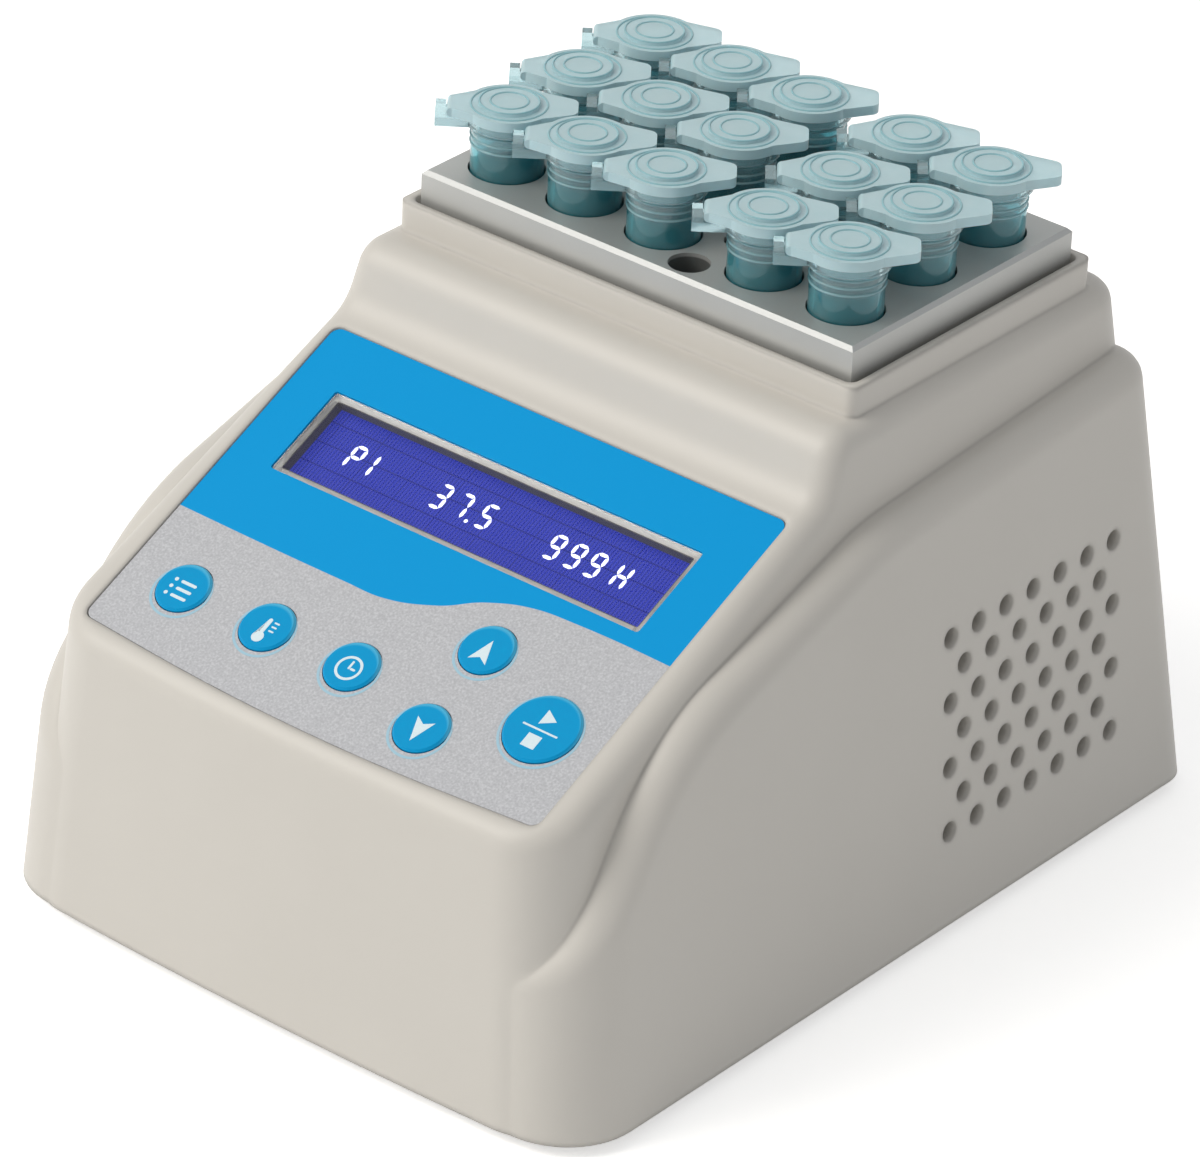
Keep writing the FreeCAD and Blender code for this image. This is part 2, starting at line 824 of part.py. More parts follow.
def back_openings():
    """The holes in the back wall for the power socket and the switch."""
    through = D.wall * 2
    socket = free_sketch("socket_hole_outline")
    place_on_back(socket, D.jack_across, D.jack_height)
    circle(socket, 0, 0, D.jack_barrel_radius + D.rocker_clearance)
    switch = free_sketch("switch_hole_outline")
    place_on_back(switch, D.rocker_across, D.rocker_height)
    across = D.rocker_body_width / 2 + D.rocker_clearance
    up = D.rocker_body_height / 2 + D.rocker_clearance
    rectangle(switch, -across, -up, across, up)
    return [
        along_normal("socket_hole", socket, through, through),
        along_normal("switch_hole", switch, through, through),
    ]


def upper_housing():
    """The moulded shell: two fenders, the raised middle, and the collar round the heating block."""
    solid = as_size(0)
    outer_fenders = rounded_rim("fenders_rounded", fenders("fenders", solid), D.fender_round)
    outer_middle = rounded_rim("middle_rounded", middle("middle", solid), D.middle_round)
    collar_top = D.shoulder_height + D.collar_height
    collar = round_the_block("collar", D.collar_wall, BLOCK_BOTTOM, collar_top, D.collar_corner)
    outside = fused("outside", [outer_fenders, outer_middle, collar])
    tools = [housing_inside(), vent_holes(), *panel_openings(), *back_openings()]
    tools.append(round_the_block("well", as_size(0), TRAY_TOP, D.block_top_height, D.collar_corner))
    for number, (across, back) in enumerate(SCREW_PLACES):
        radius = D.screw_radius + D.screw_clearance
        tools.append(rod(f"screw_hole_{number}", radius, D.screw_length, across, back, lifted(D.cover_recess)))
    return cut("upper_housing", outside, tools)


# Bodies made of sketches and features

def body(name):
    return DOC.addObject("PartDesign::Body", name)


def sketch_on(owner, name, plane="XY_Plane", x=0, y=0, z=0):
    """A sketch on one of the body's own planes, shifted in that plane's directions."""
    sketch = owner.newObject("Sketcher::SketchObject", name)
    support = next(item for item in owner.Origin.OriginFeatures if item.Role == plane)
    sketch.AttachmentSupport = [(support, "")]
    sketch.MapMode = "FlatFace"
    shift = [as_size(value) for value in (x, y, z)]
    sketch.AttachmentOffset = Placement(Vector(*(value.number for value in shift)), Rotation())
    for letter, value in zip("xyz", shift):
        bind(sketch, f"AttachmentOffset.Base.{letter}", value)
    return sketch


def padded(owner, sketch, length, downwards=False, midplane=False):
    feature = owner.newObject("PartDesign::Pad", sketch.Name + "_pad")
    feature.Profile = sketch
    feature.Reversed = downwards
    if midplane:
        feature.SideType = "Symmetric"
    bind(feature, "Length", length)
    return feature


def pocketed(owner, sketch, depth):
    feature = owner.newObject("PartDesign::Pocket", sketch.Name + "_pocket")
    feature.Profile = sketch
    bind(feature, "Length", depth)
    return feature


def revolved(owner, sketch):
    feature = owner.newObject("PartDesign::Revolution", sketch.Name + "_turn")
    feature.Profile = sketch
    feature.ReferenceAxis = (sketch, ["V_Axis"])
    feature.Angle = 360
    return feature


def grooved(owner, sketch):
    feature = owner.newObject("PartDesign::Groove", sketch.Name + "_groove")
    feature.Profile = sketch
    feature.ReferenceAxis = (sketch, ["V_Axis"])
    feature.Angle = 360
    return feature


def polygon(sketch, points):
    """Closed outline with sharp corners."""
    rounded_outline(sketch, [(x, y, 0) for x, y in points])


def disc_pad(owner, name, radius, low, height, x=0, y=0):
    """A round pad standing at one height of a body."""
    sketch = sketch_on(owner, name, z=low)
    circle(sketch, x, y, radius)
    return padded(owner, sketch, height)


def block_pad(owner, name, left, front, right, back, low, height):
    """A rectangular pad standing at one height of a body."""
    sketch = sketch_on(owner, name, z=low)
    rectangle(sketch, left, front, right, back)
    return padded(owner, sketch, height)


def dressed(owner, kind, name, size, test):
    """A fillet or a chamfer on the edges of the body's last feature that pass the test."""
    DOC.recompute()
    base = owner.Tip
    feature = owner.newObject(f"PartDesign::{kind}", name)
    feature.Base = (base, [f"Edge{number}" for number in edges_where(base.Shape, test)])
    bind(feature, "Radius" if kind == "Fillet" else "Size", size)
    return feature


def bottom_cover():
    """Flat cover set a little into the shell, with seats for feet and screws and posts for the board."""
    inside = walls("cover_walls", HALF_WIDTH, D.fender_setback, D.front_corner, D.wall + D.cover_clearance)
    low = lifted(D.cover_recess)
    layer = box("cover_layer", D.housing_width, D.housing_depth + D.margin, D.cover_thickness, 0, 0, low)
    plate = common("cover_plate", inside, layer)
    posts = []
    for name, (side, end) in CORNERS.items():
        across, back = board_post(side, end)
        posts.append(rod(f"board_post_{name}", D.post_radius, D.main_board_lift + D.cover_thickness / 2, across, back,
                         lifted(COVER_TOP - D.cover_thickness / 2)))
    tools = []
    for name, (side, end) in CORNERS.items():
        radius = D.foot_plug_radius + D.screw_clearance
        tools.append(rod(f"foot_hole_{name}", radius, D.cover_thickness, side * D.foot_across, end * D.foot_back, low))
    for number, (across, back) in enumerate(SCREW_PLACES):
        head = D.screw_head_radius + D.screw_clearance
        tools.append(rod(f"head_seat_{number}", head, D.screw_head_height, across, back, low))
        shank = D.screw_radius + D.screw_clearance
        tools.append(rod(f"shank_hole_{number}", shank, D.cover_thickness, across, back, low))
    return cut("bottom_cover", fused("cover_with_posts", [plate, *posts]), tools)


def board_post(side, end):
    """Across and along of one post under the control board."""
    across = side * (D.main_board_width / 2 - D.main_post_inset)
    back = D.main_board_back + end * (D.main_board_length / 2 - D.main_post_inset)
    return across, back


def foot(name, side, end):
    """Rubber foot with a plug that is pushed into the cover."""
    owner = body(f"foot_{name}")
    sketch = sketch_on(owner, f"foot_{name}_section", "XZ_Plane")
    sole = lifted(D.cover_recess)
    polygon(sketch, [
        (0, 0),
        (D.foot_radius - D.foot_taper, 0),
        (D.foot_radius, sole),
        (D.foot_plug_radius, sole),
        (D.foot_plug_radius, sole + D.cover_thickness),
        (0, sole + D.cover_thickness),
    ])
    revolved(owner, sketch)
    return place(owner, side * D.foot_across, end * D.foot_back)


def cover_screw(number, across, back):
    """Cheese-head screw, its head sunk in the cover and its shank in the shell's boss."""
    owner = body(f"cover_screw_{number + 1}")
    sketch = sketch_on(owner, f"cover_screw_{number + 1}_section", "XZ_Plane")
    polygon(sketch, [
        (0, 0),
        (D.screw_head_radius, 0),
        (D.screw_head_radius, D.screw_head_height),
        (D.screw_radius, D.screw_head_height),
        (D.screw_radius, D.screw_length),
        (0, D.screw_length),
    ])
    revolved(owner, sketch)
    return place(owner, across, back, lifted(D.cover_recess))


def panel_overlay():
    """Printed film over the sloping face, open for the display and round every key."""
    owner = body("panel_overlay")
    sketch = sketch_on(owner, "film_outline", z=-D.overlay_thickness)
    film_outline(sketch, as_size(0))
    window_outline(sketch, D.lens_ledge)
    for across, along, radius in KEYS.values():
        circle(sketch, across, along, radius)
    padded(owner, sketch, D.overlay_thickness)
    return place_on_panel(owner)


def display_lens():
    """Clear pane let into the film over the window."""
    owner = body("display_lens")
    sketch = sketch_on(owner, "lens_outline", z=-D.overlay_thickness)
    window_outline(sketch, D.lens_ledge - D.lens_clearance)
    padded(owner, sketch, D.lens_thickness)
    return place_on_panel(owner)


def display_module():
    """Liquid-crystal glass on its own small board, behind the window."""
    owner = body("display_module")
    glass = sketch_on(owner, "display_glass", z=DISPLAY_BOARD_FRONT)
    window_outline(glass, D.glass_margin)
    padded(owner, glass, D.glass_thickness)
    side, half = D.display_board_width / 2, D.display_board_length / 2
    low, high = D.window_along - half, D.window_along + half
    board = sketch_on(owner, "display_board", z=DISPLAY_BOARD_FRONT)
    rectangle(board, -side, low, side, high)
    padded(owner, board, D.board_thickness, downwards=True)
    return place_on_panel(owner)


def key_board():
    """Board behind the keys, with a push switch under each stem."""
    owner = body("key_board")
    side = D.key_board_width / 2
    block_pad(owner, "key_board_plate", -side, D.key_board_low, side, D.key_board_low + D.key_board_length,
              KEY_BOARD_FRONT - D.board_thickness, D.board_thickness)
    half = D.switch_side / 2
    for name, (across, along, _) in KEYS.items():
        block_pad(owner, f"{name}_switch", across - half, along - half, across + half, along + half,
                  KEY_BOARD_FRONT, D.switch_height - D.switch_button)
        disc_pad(owner, f"{name}_button", D.key_stem_radius, KEY_BOARD_FRONT, D.switch_height, across, along)
    return place_on_panel(owner)


def key(name, across, along, radius):
    """Round key with an eased edge and a stem that reaches its switch."""
    owner = body(name)
    face = radius - D.key_clearance
    disc_pad(owner, f"{name}_cap", face, D.key_proud - D.key_cap, D.key_cap)
    stem = sketch_on(owner, f"{name}_stem", z=D.key_proud - D.key_cap)
    circle(stem, 0, 0, D.key_stem_radius)
    padded(owner, stem, D.key_stem_length, downwards=True)
    top = D.key_proud.number - 0.01
    dressed(owner, "Chamfer", f"{name}_edge", D.key_edge, lambda spot: spot.z > top)
    return place_on_panel(owner, across, along)


# Parts of the control board: place across and back from its middle, size and height
BOARD_PARTS = {
    "transformer": (-22.0, 10.0, 24.0, 26.0, 18.0),
    "relay": (8.0, 16.0, 16.0, 12.0, 14.0),
    "heat_sink": (27.0, 12.0, 4.0, 26.0, 22.0),
    "processor": (6.0, -8.0, 14.0, 14.0, 2.0),
    "power_terminal": (-26.0, -16.0, 14.0, 9.0, 11.0),
    "heater_terminal": (26.0, -16.0, 14.0, 9.0, 11.0),
}
BOARD_CANS = {
    "large_capacitor": (-6.0, 18.0, 5.0, 17.0),
    "small_capacitor": (-6.0, 5.0, 3.2, 11.0),
    "buzzer": (-8.0, -17.0, 6.0, 8.0),
}


def control_board():
    """Board of the control with its supply, relay, processor, terminals and buzzer."""
    owner = body("control_board")
    side, half = D.main_board_width / 2, D.main_board_length / 2
    block_pad(owner, "control_board_plate", -side, -half, side, half, as_size(0), D.board_thickness)
    for name, (across, back, width, depth, height) in BOARD_PARTS.items():
        block_pad(owner, name, across - width / 2, back - depth / 2, across + width / 2, back + depth / 2,
                  D.board_thickness, height)
    for name, (across, back, radius, height) in BOARD_CANS.items():
        disc_pad(owner, name, radius, D.board_thickness, height, across, back)
    return place(owner, 0, D.main_board_back, lifted(COVER_TOP + D.main_board_lift))


def power_socket():
    """Round low-voltage socket in the back wall, with its centre pin."""
    owner = body("power_socket")
    sketch = sketch_on(owner, "power_socket_section", "XZ_Plane")
    floor = D.jack_flange_thickness - D.jack_socket_depth
    pin_end = D.jack_flange_thickness - D.jack_pin_inset
    polygon(sketch, [
        (0, -D.jack_barrel_length),
        (D.jack_barrel_radius, -D.jack_barrel_length),
        (D.jack_barrel_radius, 0),
        (D.jack_flange_radius, 0),
        (D.jack_flange_radius, D.jack_flange_thickness),
        (D.jack_socket_radius, D.jack_flange_thickness),
        (D.jack_socket_radius, floor),
        (D.jack_pin_radius, floor),
        (D.jack_pin_radius, pin_end),
        (0, pin_end),
    ])
    revolved(owner, sketch)
    return place_on_back(owner, D.jack_across, D.jack_height)


def switch_frame():
    """Snap-in frame of the power switch, hollow for its rocker."""
    owner = body("switch_frame")
    across, up = D.rocker_frame_width / 2, D.rocker_frame_height / 2
    block_pad(owner, "switch_bezel", -across, -up, across, up, as_size(0), D.rocker_lip)
    across, up = D.rocker_body_width / 2, D.rocker_body_height / 2
    inner = sketch_on(owner, "switch_barrel")
    rectangle(inner, -across, -up, across, up)
    padded(owner, inner, D.rocker_body_depth, downwards=True)
    hollow = sketch_on(owner, "switch_hollow", z=D.rocker_lip)
    rectangle(hollow, -(across - D.rocker_wall), -(up - D.rocker_wall), across - D.rocker_wall, up - D.rocker_wall)
    pocketed(owner, hollow, D.rocker_lip + D.rocker_hollow)
    pivot = sketch_on(owner, "switch_pivot_holes", "XZ_Plane")
    circle(pivot, 0, -D.rocker_pivot_depth, D.rocker_pin_radius + D.rocker_pin_play)
    through = pocketed(owner, pivot, D.rocker_frame_height)
    through.SideType = "Symmetric"
    return place_on_back(owner, D.rocker_across, D.rocker_height)


def switch_rocker():
    """Two-position rocker on its own pins, resting tilted to one side."""
    owner = body("switch_rocker")
    section = sketch_on(owner, "rocker_section", "XZ_Plane", y=-D.rocker_pivot_depth)
    tilt_sketch(section, D.rocker_throw)
    crown = D.rocker_pivot_depth + D.rocker_lip
    reach = D.rocker_length / 2
    polygon(section, [
        (-reach, crown + D.rocker_horn),
        (-reach, crown - D.rocker_side),
        (0, -D.rocker_keel),
        (reach, crown - D.rocker_side),
        (reach, crown + D.rocker_horn),
        (0, crown),
    ])
    width = D.rocker_body_height - 2 * D.rocker_wall - 2 * D.rocker_clearance
    padded(owner, section, width, midplane=True)
    pins = sketch_on(owner, "rocker_pins", "XZ_Plane", y=-D.rocker_pivot_depth)
    circle(pins, 0, 0, D.rocker_pin_radius)
    padded(owner, pins, D.rocker_body_height - D.rocker_wall, midplane=True)
    return place_on_back(owner, D.rocker_across, D.rocker_height)


def tilt_sketch(sketch, angle):
    """Turn a sketch in its own plane."""
    shift = sketch.AttachmentOffset.Base
    sketch.AttachmentOffset = Placement(shift, Rotation(Vector(0, 0, 1), angle.number))
    bind(sketch, "AttachmentOffset.Rotation.Angle", angle)


def heating_block():
    """Solid block with wells for the tubes, a probe hole and a tapped hole to lift it by."""
    owner = body("heating_block")
    across, back = D.block_width / 2, D.block_depth / 2
    front, rear = D.block_middle_back - back, D.block_middle_back + back
    block_pad(owner, "block", -across, front, across, rear, lifted(BLOCK_BOTTOM), D.block_height)
    top = lifted(D.block_top_height)
    low_top, high_top = top.number - 0.01, top.number + 0.01
    dressed(owner, "Chamfer", "block_edges", D.block_edge, lambda spot: low_top < spot.z < high_top)
    first_row = D.block_middle_back - D.tube_row
    groups = (("left", D.first_column, LEFT_COLUMNS), ("right", D.fourth_column, RIGHT_COLUMNS))
    for name, column, columns in groups:
        section = sketch_on(owner, f"{name}_well_section", "XZ_Plane", x=column, z=-first_row)
        well = grooved(owner, section_of_well(section, top))
        grid = owner.newObject("PartDesign::LinearPattern", f"{name}_wells")
        grid.Originals = [well]
        grid.Direction = (section, ["H_Axis"])
        grid.Direction2 = (section, ["N_Axis"])
        grid.Reversed2 = True
        grid.Mode = grid.Mode2 = "Spacing"
        bind(grid, "Offset", D.tube_pitch)
        bind(grid, "Offset2", D.tube_row)
        grid.Occurrences, grid.Occurrences2 = columns, ROWS
        grid.Spacings2 = [-1.0] * (ROWS - 1)
        owner.Tip = grid
    for name, x, y, radius, depth in (
        ("probe", D.probe_hole_across, D.probe_hole_back, D.probe_hole_radius, D.probe_hole_depth),
        ("lift", D.lift_hole_across, D.lift_hole_back, D.lift_hole_radius, D.lift_hole_depth),
    ):
        hole = sketch_on(owner, f"{name}_hole", z=top)
        circle(hole, x, y, radius)
        pocketed(owner, hole, depth)
    return owner


def section_of_well(sketch, top):
    """Half section of one well: straight at the mouth, then a cone to a small flat floor."""
    polygon(sketch, [
        (0, top),
        (D.tube_hole_radius, top),
        (D.tube_hole_radius, top - D.tube_hole_straight),
        (D.tube_hole_floor, top - D.tube_hole_depth),
        (0, top - D.tube_hole_depth),
    ])
    return sketch


def tube_places():
    """Name and place of every well, row by row from the front and from left to right."""
    columns = [D.first_column + step * D.tube_pitch for step in range(LEFT_COLUMNS)]
    columns += [D.fourth_column + step * D.tube_pitch for step in range(RIGHT_COLUMNS)]
    for row in range(ROWS):
        back = D.block_middle_back + (row - 1) * D.tube_row
        for column, across in enumerate(columns):
            yield f"r{row + 1}c{column + 1}", across, back


def tube(name, across, back):
    """Small conical tube with a rim, and the fixed half of its hinge."""
    owner = body(f"tube_{name}")
    section = sketch_on(owner, f"tube_{name}_section", "XZ_Plane")
    outer = D.tube_hole_radius - D.tube_clearance
    inner = outer - D.tube_wall
    tip = D.tube_tip_lift - D.tube_hole_depth
    polygon(section, [
        (0, tip),
        (D.tube_tip_radius, tip),
        (outer, -D.tube_hole_straight),
        (outer, D.rim_height - D.rim_thickness),
        (D.rim_radius, D.rim_height - D.rim_thickness),
        (D.rim_radius, D.rim_height),
        (inner, D.rim_height),
        (inner, -D.tube_hole_straight),
        (D.tube_tip_radius / 2, tip + D.tube_wall),
        (0, tip + D.tube_wall),
    ])
    revolved(owner, section)
    block_pad(owner, f"tube_{name}_ear", -D.hinge_length, -D.hinge_half_width, -(outer - D.tube_wall / 2),
              D.hinge_half_width, D.rim_height - D.hinge_drop, D.hinge_drop)
    lip = D.hinge_reach + D.lid_thickness / 2 + D.hinge_lip_gap
    block_pad(owner, f"tube_{name}_lip", -D.hinge_length, -D.hinge_half_width, -lip, D.hinge_half_width,
              D.rim_height - D.hinge_drop, D.hinge_drop + D.lid_gap + D.lid_thickness / 2)
    return place(owner, across, back, lifted(D.block_top_height), angle=D.lid_angle)


def lid(name, across, back):
    """Snap lid with its hinge strap, a thumb tab, a raised crown and the plug that seals the tube."""
    owner = body(f"lid_{name}")
    low = D.rim_height + D.lid_gap
    disc_pad(owner, f"lid_{name}_disc", D.lid_radius, low, D.lid_thickness)
    strap = sketch_on(owner, f"lid_{name}_strap", z=low)
    polygon(strap, [
        (-D.hinge_reach, -D.hinge_half_width),
        (-D.lid_shoulder_reach, -D.lid_shoulder),
        (-D.lid_shoulder_reach, D.lid_shoulder),
        (-D.hinge_reach, D.hinge_half_width),
    ])
    padded(owner, strap, D.lid_thickness)
    tab = sketch_on(owner, f"lid_{name}_tab", z=low)
    rounded_outline(tab, [
        (D.lid_shoulder_reach, -D.lid_shoulder, 0),
        (D.tab_length, -D.tab_half_width, D.tab_corner),
        (D.tab_length, D.tab_half_width, D.tab_corner),
        (D.lid_shoulder_reach, D.lid_shoulder, 0),
    ])
    padded(owner, tab, D.lid_thickness)
    knuckle = sketch_on(owner, f"lid_{name}_knuckle", "XZ_Plane")
    circle(knuckle, -D.hinge_reach, low + D.lid_thickness / 2, D.lid_thickness / 2)
    padded(owner, knuckle, 2 * D.hinge_half_width, midplane=True)
    disc_pad(owner, f"lid_{name}_crown", D.lid_crown_radius, low, D.lid_thickness + D.lid_crown_height)
    disc_pad(owner, f"lid_{name}_plug", D.plug_radius, D.rim_height - D.plug_depth, D.plug_depth + D.lid_thickness)
    return place(owner, across, back, lifted(D.block_top_height), angle=D.lid_angle)


def heater_plate():
    """Aluminium plate that the block stands on, bored for the temperature sensor."""
    clear = D.tray_gap * 2
    plate = box("plate", 2 * WELL_HALF_WIDTH - clear, 2 * WELL_HALF_DEPTH - clear, D.plate_thickness,
                0, D.block_middle_back, lifted(PLATE_BOTTOM))
    bore = rod("plate_bore", D.sensor_radius + D.screw_clearance, D.sensor_length + D.sensor_radius,
               -(WELL_HALF_WIDTH + D.skirt_wall), D.block_middle_back, lifted(PLATE_BOTTOM + D.plate_thickness / 2),
               Vector(0, 1, 0), 90)
    return cut("heater_plate", plate, [bore])


def heating_film():
    """Thin heating element under the plate."""
    return box("heating_film", 2 * (WELL_HALF_WIDTH - D.film_margin), 2 * (WELL_HALF_DEPTH - D.film_margin),
               D.film_thickness, 0, D.block_middle_back, lifted(TRAY_FLOOR_TOP))


def temperature_sensor():
    """Slim probe pushed into the plate from the side."""
    return rod("temperature_sensor", D.sensor_radius, D.sensor_length, -(WELL_HALF_WIDTH + D.skirt_wall),
               D.block_middle_back, lifted(PLATE_BOTTOM + D.plate_thickness / 2), Vector(0, 1, 0), 90)


def thermal_cutout():
    """Disc thermostat against the film, in its hole in the tray's floor."""
    return rod("thermal_cutout", D.cutout_radius, D.cutout_height, D.cutout_across, D.block_middle_back,
               lifted(TRAY_FLOOR_TOP - D.cutout_height))


def insulating_tray():
    """Heat-proof tray on four legs, which holds the plate and the foot of the block."""
    height = TRAY_TOP - TRAY_BOTTOM
    tub = round_the_block("tub", D.skirt_wall, TRAY_BOTTOM, TRAY_BOTTOM + height, D.collar_corner)
    hollow = box("tub_hollow", 2 * WELL_HALF_WIDTH, 2 * WELL_HALF_DEPTH, height, 0, D.block_middle_back,
                 lifted(TRAY_FLOOR_TOP))
    legs = []
    for name, (side, end) in CORNERS.items():
        legs.append(rod(f"tray_leg_{name}", D.tray_leg_radius, TRAY_FLOOR_TOP - COVER_TOP, side * D.tray_leg_across,
                        D.block_middle_back + end * D.tray_leg_back, lifted(COVER_TOP)))
    sensor_way = rod("sensor_way", D.sensor_radius + D.tray_gap, D.skirt_wall * 2,
                     -(WELL_HALF_WIDTH + D.skirt_wall * 1.5), D.block_middle_back,
                     lifted(PLATE_BOTTOM + D.plate_thickness / 2), Vector(0, 1, 0), 90)
    cutout_way = rod("cutout_way", D.cutout_radius + D.tray_gap, D.tray_floor, D.cutout_across, D.block_middle_back,
                     lifted(TRAY_BOTTOM))
    return cut("insulating_tray", fused("tub_with_legs", [tub, *legs]), [hollow, sensor_way, cutout_way])


def build():
    """Every piece of the incubator, each as one named solid."""
    pieces = [upper_housing(), bottom_cover()]
    pieces += [foot(name, side, end) for name, (side, end) in CORNERS.items()]
    pieces += [cover_screw(number, across, back) for number, (across, back) in enumerate(SCREW_PLACES)]
    pieces += [panel_overlay(), display_lens(), display_module(), key_board()]
    pieces += [key(name, *spot) for name, spot in KEYS.items()]
    pieces += [control_board(), power_socket(), switch_frame(), switch_rocker()]
    pieces += [insulating_tray(), heater_plate(), heating_film(), temperature_sensor(), thermal_cutout()]
    pieces.append(heating_block())
    for name, across, back in tube_places():
        pieces += [tube(name, across, back), lid(name, across, back)]
    return pieces


def check(pieces):
    """Stop before anything is written if an object failed or a shape is not one valid solid."""
    for item in DOC.Objects:
        if "Invalid" in item.State or "Error" in item.State:
            raise RuntimeError(f"{item.Name} failed: {item.State}")
    for piece in pieces:
        shape = piece.Shape
        if shape.isNull() or not shape.isValid() or len(shape.Solids) != 1:
            raise RuntimeError(f"{piece.Label} is not one valid solid")


def main():
    pieces = build()
    DOC.recompute()
    check(pieces)
    os.makedirs("parts", exist_ok=True)
    for piece in pieces:
        piece.Shape.exportStep(f"parts/{piece.Label}.step")
    print(f"{len(pieces)} pieces written")


main()
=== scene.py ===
"""Looks of a bench-top dry bath incubator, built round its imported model.

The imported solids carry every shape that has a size. This script gives each of them its material,
adds the printing, the display's segments, the moulded beads of the tubes and other fine trim, and
sets up a plain pale studio with a camera at the photograph's angle. Lengths are in metres, apart
from those that a docstring gives in millimetres.
"""

import json
import logging
import math
from collections.abc import Sequence
from dataclasses import dataclass, field
from enum import Enum

import bmesh
import bpy
from mathutils import Matrix, Vector

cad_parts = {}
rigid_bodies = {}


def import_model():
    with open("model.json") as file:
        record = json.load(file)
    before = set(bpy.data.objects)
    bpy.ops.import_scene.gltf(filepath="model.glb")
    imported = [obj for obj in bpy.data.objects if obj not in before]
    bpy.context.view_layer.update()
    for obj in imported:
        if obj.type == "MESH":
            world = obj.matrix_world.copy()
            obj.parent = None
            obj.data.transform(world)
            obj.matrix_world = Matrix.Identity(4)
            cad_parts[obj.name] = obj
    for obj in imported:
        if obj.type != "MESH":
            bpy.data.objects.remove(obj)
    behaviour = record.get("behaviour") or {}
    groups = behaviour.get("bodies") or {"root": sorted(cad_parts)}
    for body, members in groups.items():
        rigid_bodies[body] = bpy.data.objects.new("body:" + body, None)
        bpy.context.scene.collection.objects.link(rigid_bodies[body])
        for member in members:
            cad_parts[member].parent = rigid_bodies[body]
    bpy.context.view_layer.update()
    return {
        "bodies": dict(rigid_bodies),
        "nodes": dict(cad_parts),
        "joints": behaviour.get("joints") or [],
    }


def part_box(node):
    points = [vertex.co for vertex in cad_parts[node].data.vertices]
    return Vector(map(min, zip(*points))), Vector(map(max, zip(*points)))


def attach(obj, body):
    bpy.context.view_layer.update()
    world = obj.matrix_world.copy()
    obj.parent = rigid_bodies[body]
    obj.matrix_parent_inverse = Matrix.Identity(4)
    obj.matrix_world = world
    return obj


LOG = logging.getLogger("dry_bath")
MM = 0.001
Point = tuple[float, float]
Triple = tuple[float, float, float]
Node = bpy.types.Node
Socket = bpy.types.NodeSocket
Value = Node | Socket | bpy.types.ID | Vector | float | tuple | str
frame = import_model()


# Reading the frame

def joint_of(child: str) -> dict:
    """Find the joint that moves a body."""
    return next(joint for joint in frame["joints"] if joint["child"] == child)


def spots_of(node: str) -> list[Vector]:
    """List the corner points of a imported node."""
    return [vertex.co for vertex in frame["nodes"][node].data.vertices]


# Colours and nodes

def colour(code: str) -> tuple[float, float, float, float]:
    """Turn an sRGB hex code into linear colour.

    Args:
        code: Six hex digits, such as "e0ded9".

    Returns:
        Red, green and blue, linear, and an alpha of 1.
    """
    parts = [int(code[start:start + 2], 16) / 255 for start in (0, 2, 4)]
    linear = [part / 12.92 if part <= 0.04045 else ((part + 0.055) / 1.055) ** 2.4 for part in parts]
    return linear[0], linear[1], linear[2], 1.0


